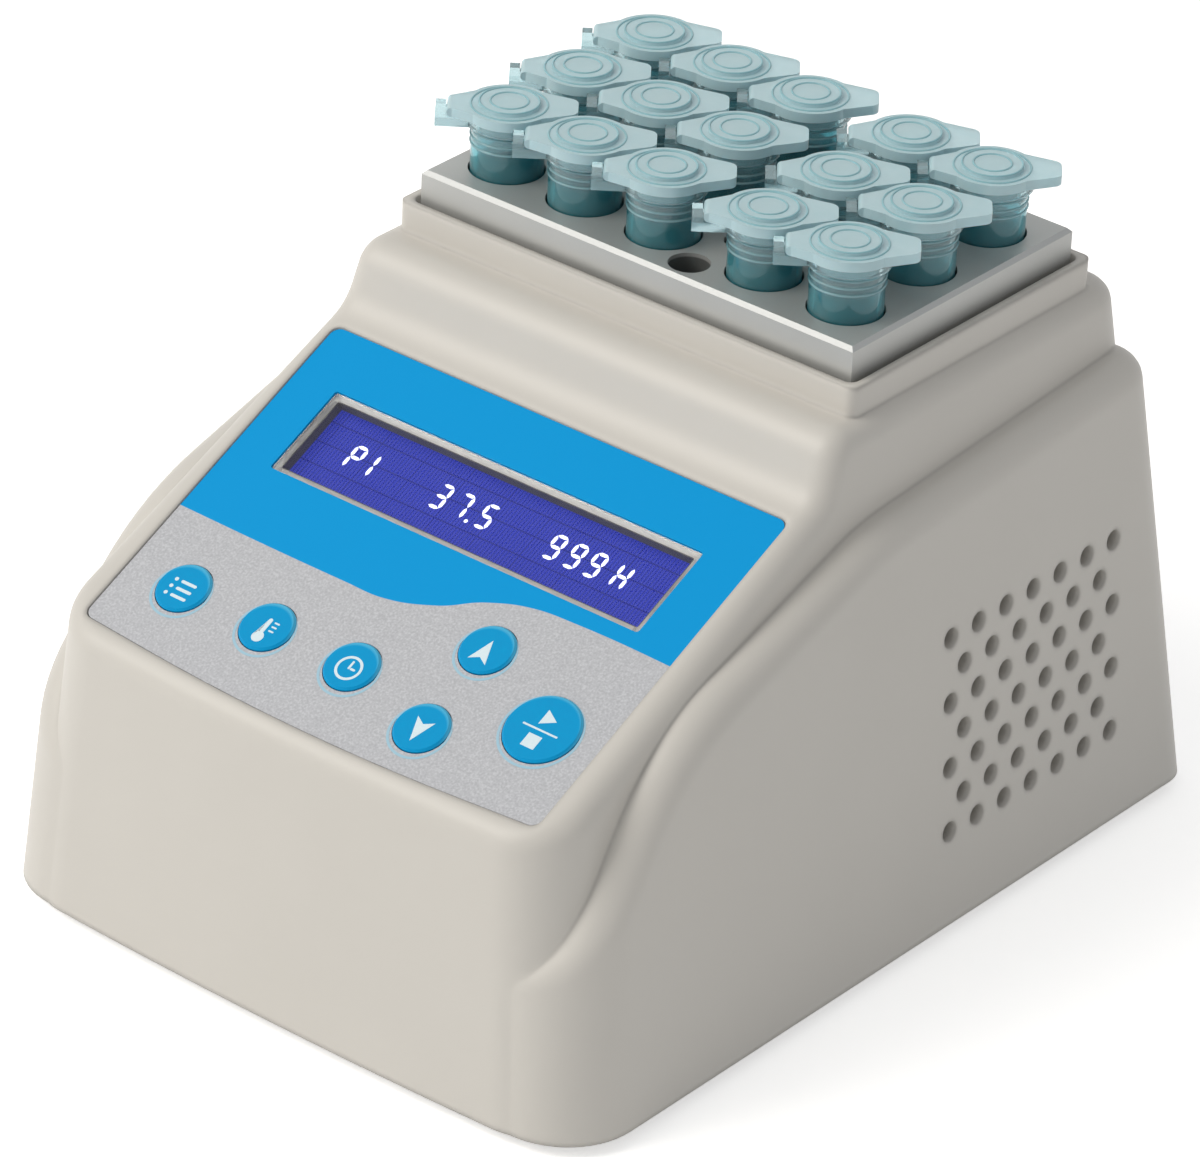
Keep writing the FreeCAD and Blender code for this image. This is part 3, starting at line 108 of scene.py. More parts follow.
class Tree:
    """A node tree that is built up from nothing."""

    def __init__(self, tree: bpy.types.NodeTree) -> None:
        """Take up a tree and empty it."""
        tree.nodes.clear()
        self.tree = tree

    def feed(self, node: Node, inputs: dict[str | int, Value]) -> None:
        """Set or link some of a node's inputs.

        Args:
            node: The node.
            inputs: Input name or number against a value, a socket, or a node whose first live output
                feeds it.
        """
        for key, value in inputs.items():
            if isinstance(value, Node):
                value = next(output for output in value.outputs if output.enabled)
            if isinstance(value, Socket):
                self.tree.links.new(value, node.inputs[key])
            else:
                node.inputs[key].default_value = value

    def add(self, kind: str, inputs: dict[str | int, Value] | tuple[Value, ...] = (),
            **settings: object) -> Node:
        """Add a node with its settings, input values and links.

        Args:
            kind: Blender's name of the node's type.
            inputs: What feeds it, by name or number, or in order from the first input.
            settings: Properties of the node.

        Returns:
            The new node.
        """
        node = self.tree.nodes.new(kind)
        for name, value in settings.items():
            setattr(node, name, value)
        self.feed(node, inputs if isinstance(inputs, dict) else dict(enumerate(inputs)))
        return node

    def step(self, value: Value, edge: Value, softness: float) -> Node:
        """Go smoothly from 0 to 1 as a value passes an edge.

        Args:
            value: What is tested.
            edge: Where the step is.
            softness: Width of the step.

        Returns:
            The node that gives the step.
        """
        past = self.add("ShaderNodeMath", (value, edge), operation="SUBTRACT")
        steps = self.add("ShaderNodeMath", (past, softness), operation="DIVIDE")
        return self.add("ShaderNodeMapRange", {"Value": steps, "From Min": -0.5, "From Max": 0.5},
                        interpolation_type="SMOOTHSTEP")

    def flecks(self, size: float, detail: float = 2.0, stretch: Triple = (1.0, 1.0, 1.0)) -> Node:
        """Scatter soft flecks of a real size over Object coordinates, between about 0 and 1.

        Args:
            size: Width of one fleck, in millimetres.
            detail: Number of finer layers.
            stretch: How many times closer the flecks lie along each axis.

        Returns:
            The node that gives the flecks.
        """
        place = self.add("ShaderNodeTexCoord").outputs["Object"]
        scaled = self.add("ShaderNodeMapping", {"Vector": place, "Scale": stretch})
        return self.add("ShaderNodeTexNoise", {"Vector": scaled, "Scale": 1 / (size * MM), "Detail": detail})

    def mottle(self, main: str, other: str, size: float, detail: float = 2.0) -> Node:
        """Blend two colours in soft flecks.

        Args:
            main: Colour between the flecks.
            other: Colour of the flecks.
            size: Width of one fleck, in millimetres.
            detail: Number of finer layers.

        Returns:
            The node that gives the colour.
        """
        flecks = self.flecks(size, detail)
        return self.add("ShaderNodeMix", {0: flecks, 6: colour(main), 7: colour(other)}, data_type="RGBA")

    def seen_share(self) -> Node:
        """Tell the rays that show a background, the camera's and those in metal and glass, from light.

        Returns:
            The node that gives 1 on such a ray.
        """
        light = self.add("ShaderNodeLightPath").outputs
        mirrored = self.add("ShaderNodeMath", (light["Is Glossy Ray"], light["Is Transmission Ray"]),
                            operation="MAXIMUM")
        return self.add("ShaderNodeMath", (light["Is Camera Ray"], mirrored), operation="MAXIMUM")


class Skin(Tree):
    """A material with one principled shader."""

    def __init__(self, name: str, **sockets: Value) -> None:
        """Start the material.

        Args:
            name: Name of the material.
            sockets: Values of the shader's inputs, with "_" for each space.
        """
        self.material = bpy.data.materials.new(name)
        self.material.use_nodes = True
        super().__init__(self.material.node_tree)
        inputs = {key.replace("_", " "): value for key, value in sockets.items()}
        self.shader = self.add("ShaderNodeBsdfPrincipled", inputs)
        self.add("ShaderNodeOutputMaterial", {"Surface": self.shader})

    def finish(self, base: Value, relief: Value | None = None, depth: float = 0.0,
               rounded: Value | None = None) -> bpy.types.Material:
        """Lay the colour and the relief on the shader.

        Args:
            base: What gives the colour.
            relief: What gives a relief between 0 and 1, or None for a plain surface.
            depth: Height of a relief of 1, in millimetres.
            rounded: Normal under the relief, or None for the surface's own.

        Returns:
            The finished material.
        """
        self.feed(self.shader, {"Base Color": base})
        if relief is not None:
            bump = self.add("ShaderNodeBump", {"Strength": 1.0, "Distance": depth * MM, "Height": relief})
            if rounded is not None:
                self.feed(bump, {"Normal": rounded})
            self.feed(self.shader, {"Normal": bump})
        return self.material


# The control face

@dataclass(frozen=True)
class ControlFace:
    """Where the sloping face lies, read from the film and from the way the keys move.

    Args:
        length: Length of the film up the slope.
        drop: Depth of the display's glass below the film's face.
    """

    length: float = 58.7 * MM
    drop: float = 2.8 * MM

    def outwards(self) -> Vector:
        """Give the direction out of the face."""
        return -Vector(joint_of("key_start")["axis"]).normalized()

    def matrix(self) -> Matrix:
        """Give the place of the face: X across, Y up the slope, Z out, origin at the lower edge's middle.

        Returns:
            The matrix from the face's own coordinates to the frame's.
        """
        out = self.outwards()
        up = out.cross(Vector((1, 0, 0))).normalized()
        spots = spots_of("panel_overlay")
        foot = max(spot.dot(up) for spot in spots) - self.length
        level = max(spot.dot(out) for spot in spots)
        turn = Matrix((Vector((1, 0, 0)), up, out)).transposed().to_4x4()
        return Matrix.Translation(up * foot + out * level) @ turn

    def tilt(self) -> float:
        """Give the slope's angle, in radians."""
        out = self.outwards()
        return math.atan2(-out.y, out.z)

    def spots_on(self, node: str) -> list[Vector]:
        """List a node's corner points in the face's own coordinates."""
        back = self.matrix().inverted()
        return [back @ spot for spot in spots_of(node)]

    def place_of(self, node: str) -> Vector:
        """Find the middle of a node in the face's own coordinates."""
        low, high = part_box(node)
        return self.matrix().inverted() @ ((low + high) / 2)

    def coordinates(self, tree: Tree) -> bpy.types.bpy_prop_collection:
        """Give a shader tree the face's own coordinates, in millimetres.

        Args:
            tree: Tree that needs them.

        Returns:
            The sockets X, Y and Z.
        """
        place = tree.add("ShaderNodeTexCoord").outputs["Object"]
        local = tree.add("ShaderNodeMapping", {"Vector": place, "Location": self.matrix().translation,
                                               "Rotation": (self.tilt(), 0, 0)}, vector_type="TEXTURE")
        scaled = tree.add("ShaderNodeVectorMath", {0: local, "Scale": 1 / MM}, operation="SCALE")
        return tree.add("ShaderNodeSeparateXYZ", (scaled,)).outputs


FACE = ControlFace()


# Finishes

@dataclass(frozen=True)
class MouldedPlastic:
    """Injection-moulded ABS or nylon from a spark-eroded tool: satin, with a fine even grain.

    Args:
        name: Name of the material.
        main: Main colour.
        other: Colour of the faint clouds in it.
        roughness: Roughness of the surface.
        grain: Width of one grain, in millimetres.
        depth: Depth of the grain, in millimetres.
        soften: Radius to which the shading rounds edges and valleys, in millimetres.
        cloud: Width of one cloud, in millimetres.
    """

    name: str
    main: str
    other: str
    roughness: float = 0.42
    grain: float = 0.5
    depth: float = 0.004
    soften: float = 0.0
    cloud: float = 22.0

    def build(self) -> bpy.types.Material:
        """Build the material.

        Returns:
            The material.
        """
        skin = Skin(self.name, Roughness=self.roughness, IOR=1.53)
        clouds = skin.mottle(self.main, self.other, self.cloud, 1.0)
        rounded = None
        if self.soften:
            rounded = skin.add("ShaderNodeBevel", {"Radius": self.soften * MM}, samples=6)
        return skin.finish(clouds, skin.flecks(self.grain), self.depth, rounded)


class FilmSkin(Skin):
    """Textured polyester film, printed on its back: an even satin face with a fine grain."""

    def __init__(self, name: str) -> None:
        """Start a film's material.

        Args:
            name: Name of the material.
        """
        super().__init__(name, Roughness=0.42, IOR=1.57, Specular_IOR_Level=0.1)

    def finish_print(self, printing: Node) -> bpy.types.Material:
        """Lay the printing and the film's grain on the shader."""
        return self.finish(printing, self.flecks(0.3), depth=0.002)


@dataclass(frozen=True)
class PanelPrint:
    """The control face's print: plain cyan above, sparkling silver ink below a wave.

    Args:
        name: Name of the material.
        upper: Colour above the wave.
        lower: Colour of the silver ink.
        fleck: Colour of the ink's bright flakes.
        shade: Colour of the ink's dark flakes.
        flake: Width of one flake, in millimetres, drawn coarser than life to show.
        metallic: Share of bare metal in the silver ink's look.
        wave: Points of the wave across and up the face, in millimetres.
    """

    name: str = "printed_polyester_film"
    upper: str = "009ce0"
    lower: str = "bcbec3"
    fleck: str = "c8cacf"
    shade: str = "b3b5ba"
    flake: float = 0.35
    metallic: float = 0.12
    wave: tuple[Point, ...] = ((-41.5, 22.0), (-10.0, 21.8), (-3.7, 21.9), (4.3, 24.2), (11.1, 28.1),
                               (17.9, 30.2), (25.0, 30.7), (41.5, 30.7))

    def border(self, tree: Tree, across: Socket) -> Node:
        """Work out how high the wave stands at each place across.

        Args:
            tree: Tree that needs it.
            across: Place across, in millimetres.

        Returns:
            The node that gives the height up the face, in millimetres.
        """
        left, right = self.wave[0][0], self.wave[-1][0]
        top = max(height for _, height in self.wave)
        share = tree.add("ShaderNodeMapRange", {"Value": across, "From Min": left, "From Max": right})
        curve = tree.add("ShaderNodeFloatCurve", {"Value": share})
        points = curve.mapping.curves[0].points
        stations = [((x - left) / (right - left), y / top) for x, y in self.wave]
        points[0].location = stations[0]
        points[1].location = stations[-1]
        for station in stations[1:-1]:
            points.new(*station)
        curve.mapping.update()
        return tree.add("ShaderNodeMath", (curve, top), operation="MULTIPLY")

    def build(self) -> bpy.types.Material:
        """Build the material.

        Returns:
            The material.
        """
        skin = FilmSkin(self.name)
        place = FACE.coordinates(skin)
        above = skin.step(place["Y"], self.border(skin, place["X"]), softness=0.12)
        flakes = skin.flecks(self.flake, 1.0)
        bright, dark = skin.step(flakes, 0.6, softness=0.2), skin.step(flakes, 0.4, softness=0.2)
        ink = skin.add("ShaderNodeMix", {0: bright, 6: colour(self.lower), 7: colour(self.fleck)},
                       data_type="RGBA")
        ink = skin.add("ShaderNodeMix", {0: dark, 6: colour(self.shade), 7: ink}, data_type="RGBA")
        printing = skin.add("ShaderNodeMix", {0: above, 6: ink, 7: colour(self.upper)}, data_type="RGBA")
        below = skin.add("ShaderNodeMath", (1.0, above), operation="SUBTRACT")
        silver = skin.add("ShaderNodeMath", (below, self.metallic), operation="MULTIPLY")
        skin.feed(skin.shader, {"Metallic": silver})
        return skin.finish_print(printing)


@dataclass(frozen=True)
class KeyPrint:
    """Cyan printed key under the film: deeper in the middle and paler in a soft band at its edge.

    Args:
        name: Name of the material.
        middle: Middle of the key in the face's own coordinates.
        radius: Radius of the key.
        main: Colour of the key.
        other: Colour of the faint clouds in it.
        edge: Colour of its edge.
    """

    name: str
    middle: Vector
    radius: float
    main: str = "009fd9"
    other: str = "0898d4"
    edge: str = "4db6e0"

    def build(self) -> bpy.types.Material:
        """Build the material.

        Returns:
            The material.
        """
        skin = FilmSkin(self.name)
        place = FACE.coordinates(skin)
        squares = []
        for axis, middle in (("X", self.middle.x), ("Y", self.middle.y)):
            offset = skin.add("ShaderNodeMath", (place[axis], middle / MM), operation="SUBTRACT")
            squares.append(skin.add("ShaderNodeMath", (offset, 2.0), operation="POWER"))
        total = skin.add("ShaderNodeMath", tuple(squares), operation="ADD")
        away = skin.add("ShaderNodeMath", (total,), operation="SQRT")
        rim = skin.step(away, self.radius / MM - 0.1, softness=0.5)
        clouds = skin.mottle(self.main, self.other, 1.2)
        printing = skin.add("ShaderNodeMix", {0: rim, 6: clouds, 7: colour(self.edge)}, data_type="RGBA")
        return skin.finish_print(printing)


@dataclass(frozen=True)
class DisplayGlass:
    """Backlit liquid-crystal glass: deep blue with its faint electrode lines, on a green board.

    Args:
        name: Name of the material.
        glow: Colour of the backlit ground.
        line: Colour of the electrode lines.
        board: Colour of the board behind the glass.
        unlit: Colour that the ground has without its light.
        pitch: Distance between the electrode lines, in millimetres, drawn coarser than life to show.
        cell: Number of electrode lines from one column's border to the next.
        row: Distance between the borders of the rows, in millimetres.
        first_row: Height up the face of the lowest border, in millimetres.
        strength: Strength of the backlight.
    """

    name: str = "liquid_crystal_glass"
    glow: str = "3340bc"
    line: str = "1c2478"
    board: str = "1f6b3a"
    unlit: str = "06081e"
    pitch: float = 0.6
    cell: int = 13
    row: float = 3.7
    first_row: float = 1.1
    strength: float = 0.55

    def lines(self, tree: Tree, place: Value, pitch: float, width: float) -> Node:
        """Draw evenly spaced lines across one direction.

        Args:
            tree: Tree that needs them.
            place: Place across the lines, in millimetres.
            pitch: Distance from line to line.
            width: Share of the pitch that is line.

        Returns:
            The node that gives 1 on a line.
        """
        turns = tree.add("ShaderNodeMath", (place, pitch), operation="DIVIDE")
        share = tree.add("ShaderNodeMath", (turns,), operation="FRACT")
        return tree.add("ShaderNodeMath", (share, width), operation="LESS_THAN")

    def build(self) -> bpy.types.Material:
        """Build the material.

        Returns:
            The material.
        """
        skin = Skin(self.name, Roughness=0.3, IOR=1.52, Specular_IOR_Level=0.1)
        place = FACE.coordinates(skin)
        electrodes = self.lines(skin, place["X"], self.pitch, width=0.45)
        columns = self.lines(skin, place["X"], self.pitch * self.cell, width=0.035)
        height = skin.add("ShaderNodeMath", (place["Y"], self.first_row), operation="SUBTRACT")
        rows = self.lines(skin, height, self.row, width=0.07)
        borders = skin.add("ShaderNodeMath", (columns, rows), operation="MAXIMUM")
        fine = skin.add("ShaderNodeMath", (electrodes, 0.6), operation="MULTIPLY")
        coarse = skin.add("ShaderNodeMath", (borders, 0.8), operation="MULTIPLY")
        dark = skin.add("ShaderNodeMath", (fine, coarse), operation="MAXIMUM")
        ground = skin.add("ShaderNodeMix", {0: dark, 6: colour(self.glow), 7: colour(self.line)},
                          data_type="RGBA")
        dull = skin.add("ShaderNodeMix", {0: 0.6, 6: ground, 7: colour(self.unlit)}, data_type="RGBA")
        front = skin.step(place["Z"], -FACE.drop / MM - 0.15, softness=0.1)
        light = skin.add("ShaderNodeMath", (front, self.strength), operation="MULTIPLY")
        skin.feed(skin.shader, {"Emission Color": ground, "Emission Strength": light})
        base = skin.add("ShaderNodeMix", {0: front, 6: colour(self.board), 7: dull}, data_type="RGBA")
        return skin.finish(base)


@dataclass(frozen=True)
class ClearPane:
    """Cast acrylic, coated against reflections: clear, polished, with the faintest unevenness.

    Args:
        name: Name of the material.
    """

    name: str = "clear_acrylic"

    def build(self) -> bpy.types.Material:
        """Build the material."""
        skin = Skin(self.name, Roughness=0.03, IOR=1.2, Transmission_Weight=1.0)
        return skin.finish(skin.mottle("ffffff", "f6f8fb", 9.0))


@dataclass(frozen=True)
class BlastedAluminium:
    """Bead-blasted and clear-anodised aluminium: matt and pale, its rim cut smooth after the blasting, with
    painted shade inside its wells.

    Args:
        name: Name of the material.
        main: Colour of the blasted faces.
        other: Colour of the faint clouds in them.
        bright: Colour of the cut rim.
        well_shade: Colour of the painted shade inside the wells.
        roughness: Roughness of the blasted faces.
        bead: Width of one bead's dent, in millimetres.
        metallic: Share of bare metal in the look; the oxide skin scatters the rest.
        top_skin: Depth below the top at which the wells' painted shade starts.
        side_skin: Depth inside the sides at which it starts.
    """

    name: str
    main: str = "bbbcba"
    other: str = "b0b1af"
    bright: str = "a4a6a6"
    well_shade: str = "6c6f6e"
    roughness: float = 0.48
    bead: float = 0.35
    metallic: float = 0.5
    top_skin: float = 0.6 * MM
    side_skin: float = 0.8 * MM

    def well_shade_share(self, tree: Tree) -> Node:
        """Tell the wells, inside which shade is painted, from the block's outer faces.

        Args:
            tree: Tree that needs it.

        Returns:
            The node that gives 1 inside a well.
        """
        low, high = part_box("heating_block")
        place = tree.add("ShaderNodeTexCoord").outputs["Object"]
        local = tree.add("ShaderNodeSeparateXYZ", (place,)).outputs
        above = tree.step(local["Z"], high.z - self.top_skin, 0.3 * MM)
        share = tree.add("ShaderNodeMath", (1.0, above), operation="SUBTRACT")
        for axis in range(2):
            middle, half = (low[axis] + high[axis]) / 2, (high[axis] - low[axis]) / 2
            offset = tree.add("ShaderNodeMath", (local[axis], middle), operation="SUBTRACT")
            away = tree.add("ShaderNodeMath", (offset,), operation="ABSOLUTE")
            outer = tree.step(away, half - self.side_skin, 0.1 * MM)
            inner = tree.add("ShaderNodeMath", (1.0, outer), operation="SUBTRACT")
            share = tree.add("ShaderNodeMath", (share, inner), operation="MULTIPLY")
        return share

    def build(self) -> bpy.types.Material:
        """Build the material.

        Returns:
            The material.
        """
        skin = Skin(self.name, Metallic=self.metallic)
        normal = skin.add("ShaderNodeNewGeometry").outputs["True Normal"]
        rise = skin.add("ShaderNodeSeparateXYZ", (normal,)).outputs["Z"]
        fall = skin.add("ShaderNodeMath", (rise, -1.0), operation="MULTIPLY")
        slopes = skin.step(rise, 0.3, softness=0.1), skin.step(fall, -0.9, softness=0.1)
        rim = skin.add("ShaderNodeMath", slopes, operation="MULTIPLY")
        clouds = skin.mottle(self.main, self.other, 14.0)
        faces = skin.add("ShaderNodeMix", {0: rim, 6: clouds, 7: colour(self.bright)}, data_type="RGBA")
        # Painted shade: a darker colour inside the wells stands in for the shade that falls in them.
        base = skin.add("ShaderNodeMix", {0: self.well_shade_share(skin), 6: faces, 7: colour(self.well_shade)},
                        data_type="RGBA")
        dents = skin.flecks(self.bead)
        spread = skin.add("ShaderNodeMath", (dents, 0.5), operation="SUBTRACT")
        spread = skin.add("ShaderNodeMath", (spread, 0.12), operation="MULTIPLY")
        rough = skin.add("ShaderNodeMath", (self.roughness, spread), operation="ADD")
        smoother = skin.add("ShaderNodeMath", (rim, 0.04), operation="MULTIPLY")
        rough = skin.add("ShaderNodeMath", (rough, smoother), operation="SUBTRACT")
        skin.feed(skin.shader, {"Roughness": rough})
        return skin.finish(base, dents, 0.006)


@dataclass(frozen=True)
class Polypropylene:
    """Natural polypropylene with a teal tint: milky, so light goes through but edges blur.

    Above a level, at a tube's neck, the tint turns paler.

    Args:
        name: Name of the material.
        main: Tint of the plastic.
        other: Tint of its thicker, milkier places.
        clear: Share of the light that goes through.
        roughness: Roughness of the surface.
        neck: Tint above the level.
        level: Height at which the neck starts, or 0 for a piece without one.
    """

    name: str
    main: str
    other: str
    clear: float
    roughness: float
    neck: str = "c6e4e9"
    level: float = 0.0

    def build(self) -> bpy.types.Material:
        """Build the material.

        Returns:
            The material.
        """
        skin = Skin(self.name, Roughness=self.roughness, IOR=1.49, Transmission_Weight=self.clear)
        tint = skin.mottle(self.main, self.other, 2.6, 3.0)
        if self.level:
            place = skin.add("ShaderNodeTexCoord").outputs["Object"]
            height = skin.add("ShaderNodeSeparateXYZ", (place,)).outputs["Z"]
            above = skin.step(height, self.level, 3.0 * MM)
            tint = skin.add("ShaderNodeMix", {0: above, 6: tint, 7: colour(self.neck)}, data_type="RGBA")
        return skin.finish(tint, skin.flecks(1.1, 1.0, (1.0, 1.0, 0.35)), 0.02)


@dataclass(frozen=True)
class Metal:
    """Turned, plated or rolled metal with fine tool lines.

    Args:
        name: Name of the material.
        main: Colour of the metal.
        other: Colour of its duller streaks.
        roughness: Roughness of the surface.
        line: Width of a tool line, in millimetres.
        stretch: How many times closer the lines lie along each axis.
    """

    name: str
    main: str
    other: str
    roughness: float = 0.32
    line: float = 1.0
    stretch: Triple = (1.0, 1.0, 8.0)

    def build(self) -> bpy.types.Material:
        """Build the material.

        Returns:
            The material.
        """
        skin = Skin(self.name, Roughness=self.roughness, Metallic=1.0)
        streaks = skin.flecks(self.line, 2.0, self.stretch)
        base = skin.add("ShaderNodeMix", {0: streaks, 6: colour(self.main), 7: colour(self.other)},
                        data_type="RGBA")
        return skin.finish(base, streaks, 0.006)


@dataclass(frozen=True)
class Rubber:
    """Moulded black rubber, dull and slightly bloomed.

    Args:
        name: Name of the material.
    """

    name: str = "moulded_rubber"

    def build(self) -> bpy.types.Material:
        """Build the material.

        Returns:
            The material.
        """
        skin = Skin(self.name, Roughness=0.82, IOR=1.52)
        bloom = skin.mottle("1a1a1a", "2e2d2b", 3.0, 4.0)
        return skin.finish(bloom, skin.flecks(0.4), 0.02)


@dataclass(frozen=True)
class CircuitBoard:
    """Glass-fibre board with green solder resist, its parts in dark epoxy and tinned metal.

    Args:
        name: Name of the material.
        out: Direction out of the board's fitted side.
        top: Where the fitted side lies along that direction.
        resist: Colour of the resist, and of the traces under it.
        parts: Colour of the epoxy parts, and of the tinned ones.
    """

    name: str
    out: Vector
    top: float
    resist: tuple[str, str] = ("1c6135", "2b7d46")
    parts: tuple[str, str] = ("202226", "8b8a80")

    def build(self) -> bpy.types.Material:
        """Build the material.

        Returns:
            The material.
        """
        skin = Skin(self.name, Roughness=0.4, IOR=1.55)
        place = skin.add("ShaderNodeTexCoord").outputs["Object"]
        along = skin.add("ShaderNodeVectorMath", (place, self.out), operation="DOT_PRODUCT")
        fitted = skin.step(along, self.top + 0.1 * MM, 0.05 * MM)
        traces = skin.step(skin.flecks(1.6, 0.0, (1.0, 0.3, 1.0)), 0.52, softness=0.02)
        patches = skin.step(skin.flecks(18.0, 0.0), 0.5, softness=0.02)
        sides = [skin.add("ShaderNodeMix", {0: share, 6: colour(main), 7: colour(other)}, data_type="RGBA")
                 for share, (main, other) in ((traces, self.resist), (patches, self.parts))]
        base = skin.add("ShaderNodeMix", {0: fitted, 6: sides[0], 7: sides[1]}, data_type="RGBA")
        return skin.finish(base)


@dataclass(frozen=True)
class Ink:
    """Screen-printed ink: flat and dense, with the faint mottle of the mesh.

    Args:
        name: Name of the material.
        main: Colour of the ink.
        other: Colour of the mottle.
        glow: Strength of light through it, for a display's lit segments.
    """

    name: str
    main: str
    other: str
    glow: float = 0.0

    def build(self) -> bpy.types.Material:
        """Build the material.

        Returns:
            The material.
        """
        skin = Skin(self.name, Roughness=0.5, Emission_Strength=self.glow)
        ink = skin.mottle(self.main, self.other, 0.4)
        skin.feed(skin.shader, {"Emission Color": ink})
        return skin.finish(ink)


# Building meshes

def dress(node: str, material: bpy.types.Material) -> None:
    """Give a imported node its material.

    Args:
        node: Name of the node.
        material: Its material.
    """
    mesh = frame["nodes"][node].data
    mesh.materials.clear()
    mesh.materials.append(material)


def new_object(name: str, data: bpy.types.ID) -> bpy.types.Object:
    """Link a mesh, a lamp or a camera into the scene.

    Args:
        name: Name of the object.
        data: Its mesh, lamp or camera.

    Returns:
        The object.
    """
    piece = bpy.data.objects.new(name, data)
    bpy.context.scene.collection.objects.link(piece)
    return piece


def add_piece(piece: bpy.types.Object, body: str) -> None:
    """Let a finished piece ride on a body and report it.

    Args:
        piece: The piece.
        body: Name of the body.
    """
    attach(piece, body)
    LOG.info("%s rides on %s with %d faces", piece.name, body, len(piece.data.polygons))


def plates(name: str, outlines: list[list[Point]], low: float, high: float,
           place: Matrix, material: bpy.types.Material) -> bpy.types.Object:
    """Make thin plates from flat outlines.

    Args:
        name: Name of the object.
        outlines: Closed outlines, each going round to the left, in metres.
        low: Height of the underside.
        high: Height of the face.
        place: Matrix from the outlines' coordinates to the frame's.
        material: Material of the plates.

    Returns:
        The object.
    """
    shape = bmesh.new()
    for outline in outlines:
        under = [shape.verts.new((x, y, low)) for x, y in outline]
        over = [shape.verts.new((x, y, high)) for x, y in outline]
        shape.faces.new(over)
        shape.faces.new(under[::-1])
        for index, corner in enumerate(under):
            ahead = (index + 1) % len(outline)
            shape.faces.new((corner, under[ahead], over[ahead], over[index]))
    shape.transform(place)
    mesh = bpy.data.meshes.new(name)
    shape.to_mesh(mesh)
    shape.free()
    mesh.materials.append(material)
    return new_object(name, mesh)


def arc(x: float, y: float, radius: float, start: float, end: float, steps: int) -> list[Point]:
    """Give points along an arc.

    Args:
        x: Middle across.
        y: Middle up.
        radius: Radius of the arc.
        start: Angle of the first point, in degrees.
        end: Angle of the last point, in degrees.
        steps: Number of steps.

    Returns:
        The points.
    """
    angles = [math.radians(start + (end - start) * step / steps) for step in range(steps + 1)]
    return [(x + radius * math.cos(angle), y + radius * math.sin(angle)) for angle in angles]


def dot(x: float, y: float, radius: float) -> list[Point]:
    """Give the outline of a small round dot."""
    return arc(x, y, radius, 0, 330, 11)


def rectangle(left: float, low: float, right: float, high: float) -> list[Point]:
    """Give the outline of an upright rectangle."""
    return [(left, low), (right, low), (right, high), (left, high)]


def bar(x0: float, y0: float, x1: float, y1: float, width: float) -> list[Point]:
    """Give the outline of a straight stroke with round ends.

    Args:
        x0: Start across.
        y0: Start up.
        x1: End across.
        y1: End up.
        width: Width of the stroke.

    Returns:
        The outline.
    """
    heading = math.degrees(math.atan2(y1 - y0, x1 - x0))
    return (arc(x1, y1, width / 2, heading - 90, heading + 90, 8)
            + arc(x0, y0, width / 2, heading + 90, heading + 270, 8))


def ring(x: float, y: float, radius: float, width: float) -> list[list[Point]]:
    """Give the outlines of a round band, as two halves.

    Args:
        x: Middle across.
        y: Middle up.
        radius: Outer radius.
        width: Width of the band.

    Returns:
        The two outlines.
    """
    return [arc(x, y, radius, start, start + 180, 20) + arc(x, y, radius - width, start + 180, start, 20)
            for start in (0, 180)]


class Repeater(Tree):
    """A Geometry Nodes tree with named sizes, run once and turned into a plain mesh."""

    def __init__(self, name: str) -> None:
        """Start an empty tree.

        Args:
            name: Name of the tree.
        """
        super().__init__(bpy.data.node_groups.new(name, "GeometryNodeTree"))
        for way in ("INPUT", "OUTPUT"):
            self.tree.interface.new_socket("Geometry", in_out=way, socket_type="NodeSocketGeometry")
        self.identifiers: dict[str, str] = {}
        self.start = self.add("NodeGroupInput")

    def size(self, name: str) -> Socket:
        """Add a named size to the tree.

        Args:
            name: Name of the size.

        Returns:
            The socket that gives it.
        """
        socket = self.tree.interface.new_socket(name, in_out="INPUT", socket_type="NodeSocketFloat")
        self.identifiers[name] = socket.identifier
        return self.start.outputs[name]

    def finish(self, geometry: Node, material: bpy.types.Material) -> None:
        """End the tree.

        Args:
            geometry: What gives the geometry.
            material: Material of all of it.
        """
        whole = self.add("GeometryNodeRealizeInstances", (geometry,))
        dressed = self.add("GeometryNodeSetMaterial", {"Geometry": whole, "Material": material})
        self.add("NodeGroupOutput", (dressed,))

    def run(self, name: str, points: Sequence[Vector], stored: dict[str, Sequence[float]] | None = None,
            place: Matrix | None = None, **sizes: float) -> bpy.types.Object:
        """Run the tree on some points.

        Args:
            name: Name of the object.
            points: Places of the points.
            stored: Attribute name against one number for each point.
            place: Matrix from the points' coordinates to the frame's.
            sizes: Size name against its value.

        Returns:
            An object with a plain mesh.
        """
        seed = bpy.data.meshes.new(name + "_points")
        seed.from_pydata(points, [], [])
        for key, values in (stored or {}).items():
            seed.attributes.new(key, "FLOAT", "POINT").data.foreach_set("value", values)
        piece = new_object(name, seed)
        modifier = piece.modifiers.new("repeat", "NODES")
        modifier.node_group = self.tree
        for key, value in sizes.items():
            modifier[self.identifiers[key]] = value
        graph = bpy.context.evaluated_depsgraph_get()
        graph.update()
        mesh = bpy.data.meshes.new_from_object(piece.evaluated_get(graph))
        piece.modifiers.remove(modifier)
        piece.data = mesh
        mesh.name = name
        if place is not None:
            mesh.transform(place)
        return piece


# Sub-assemblies

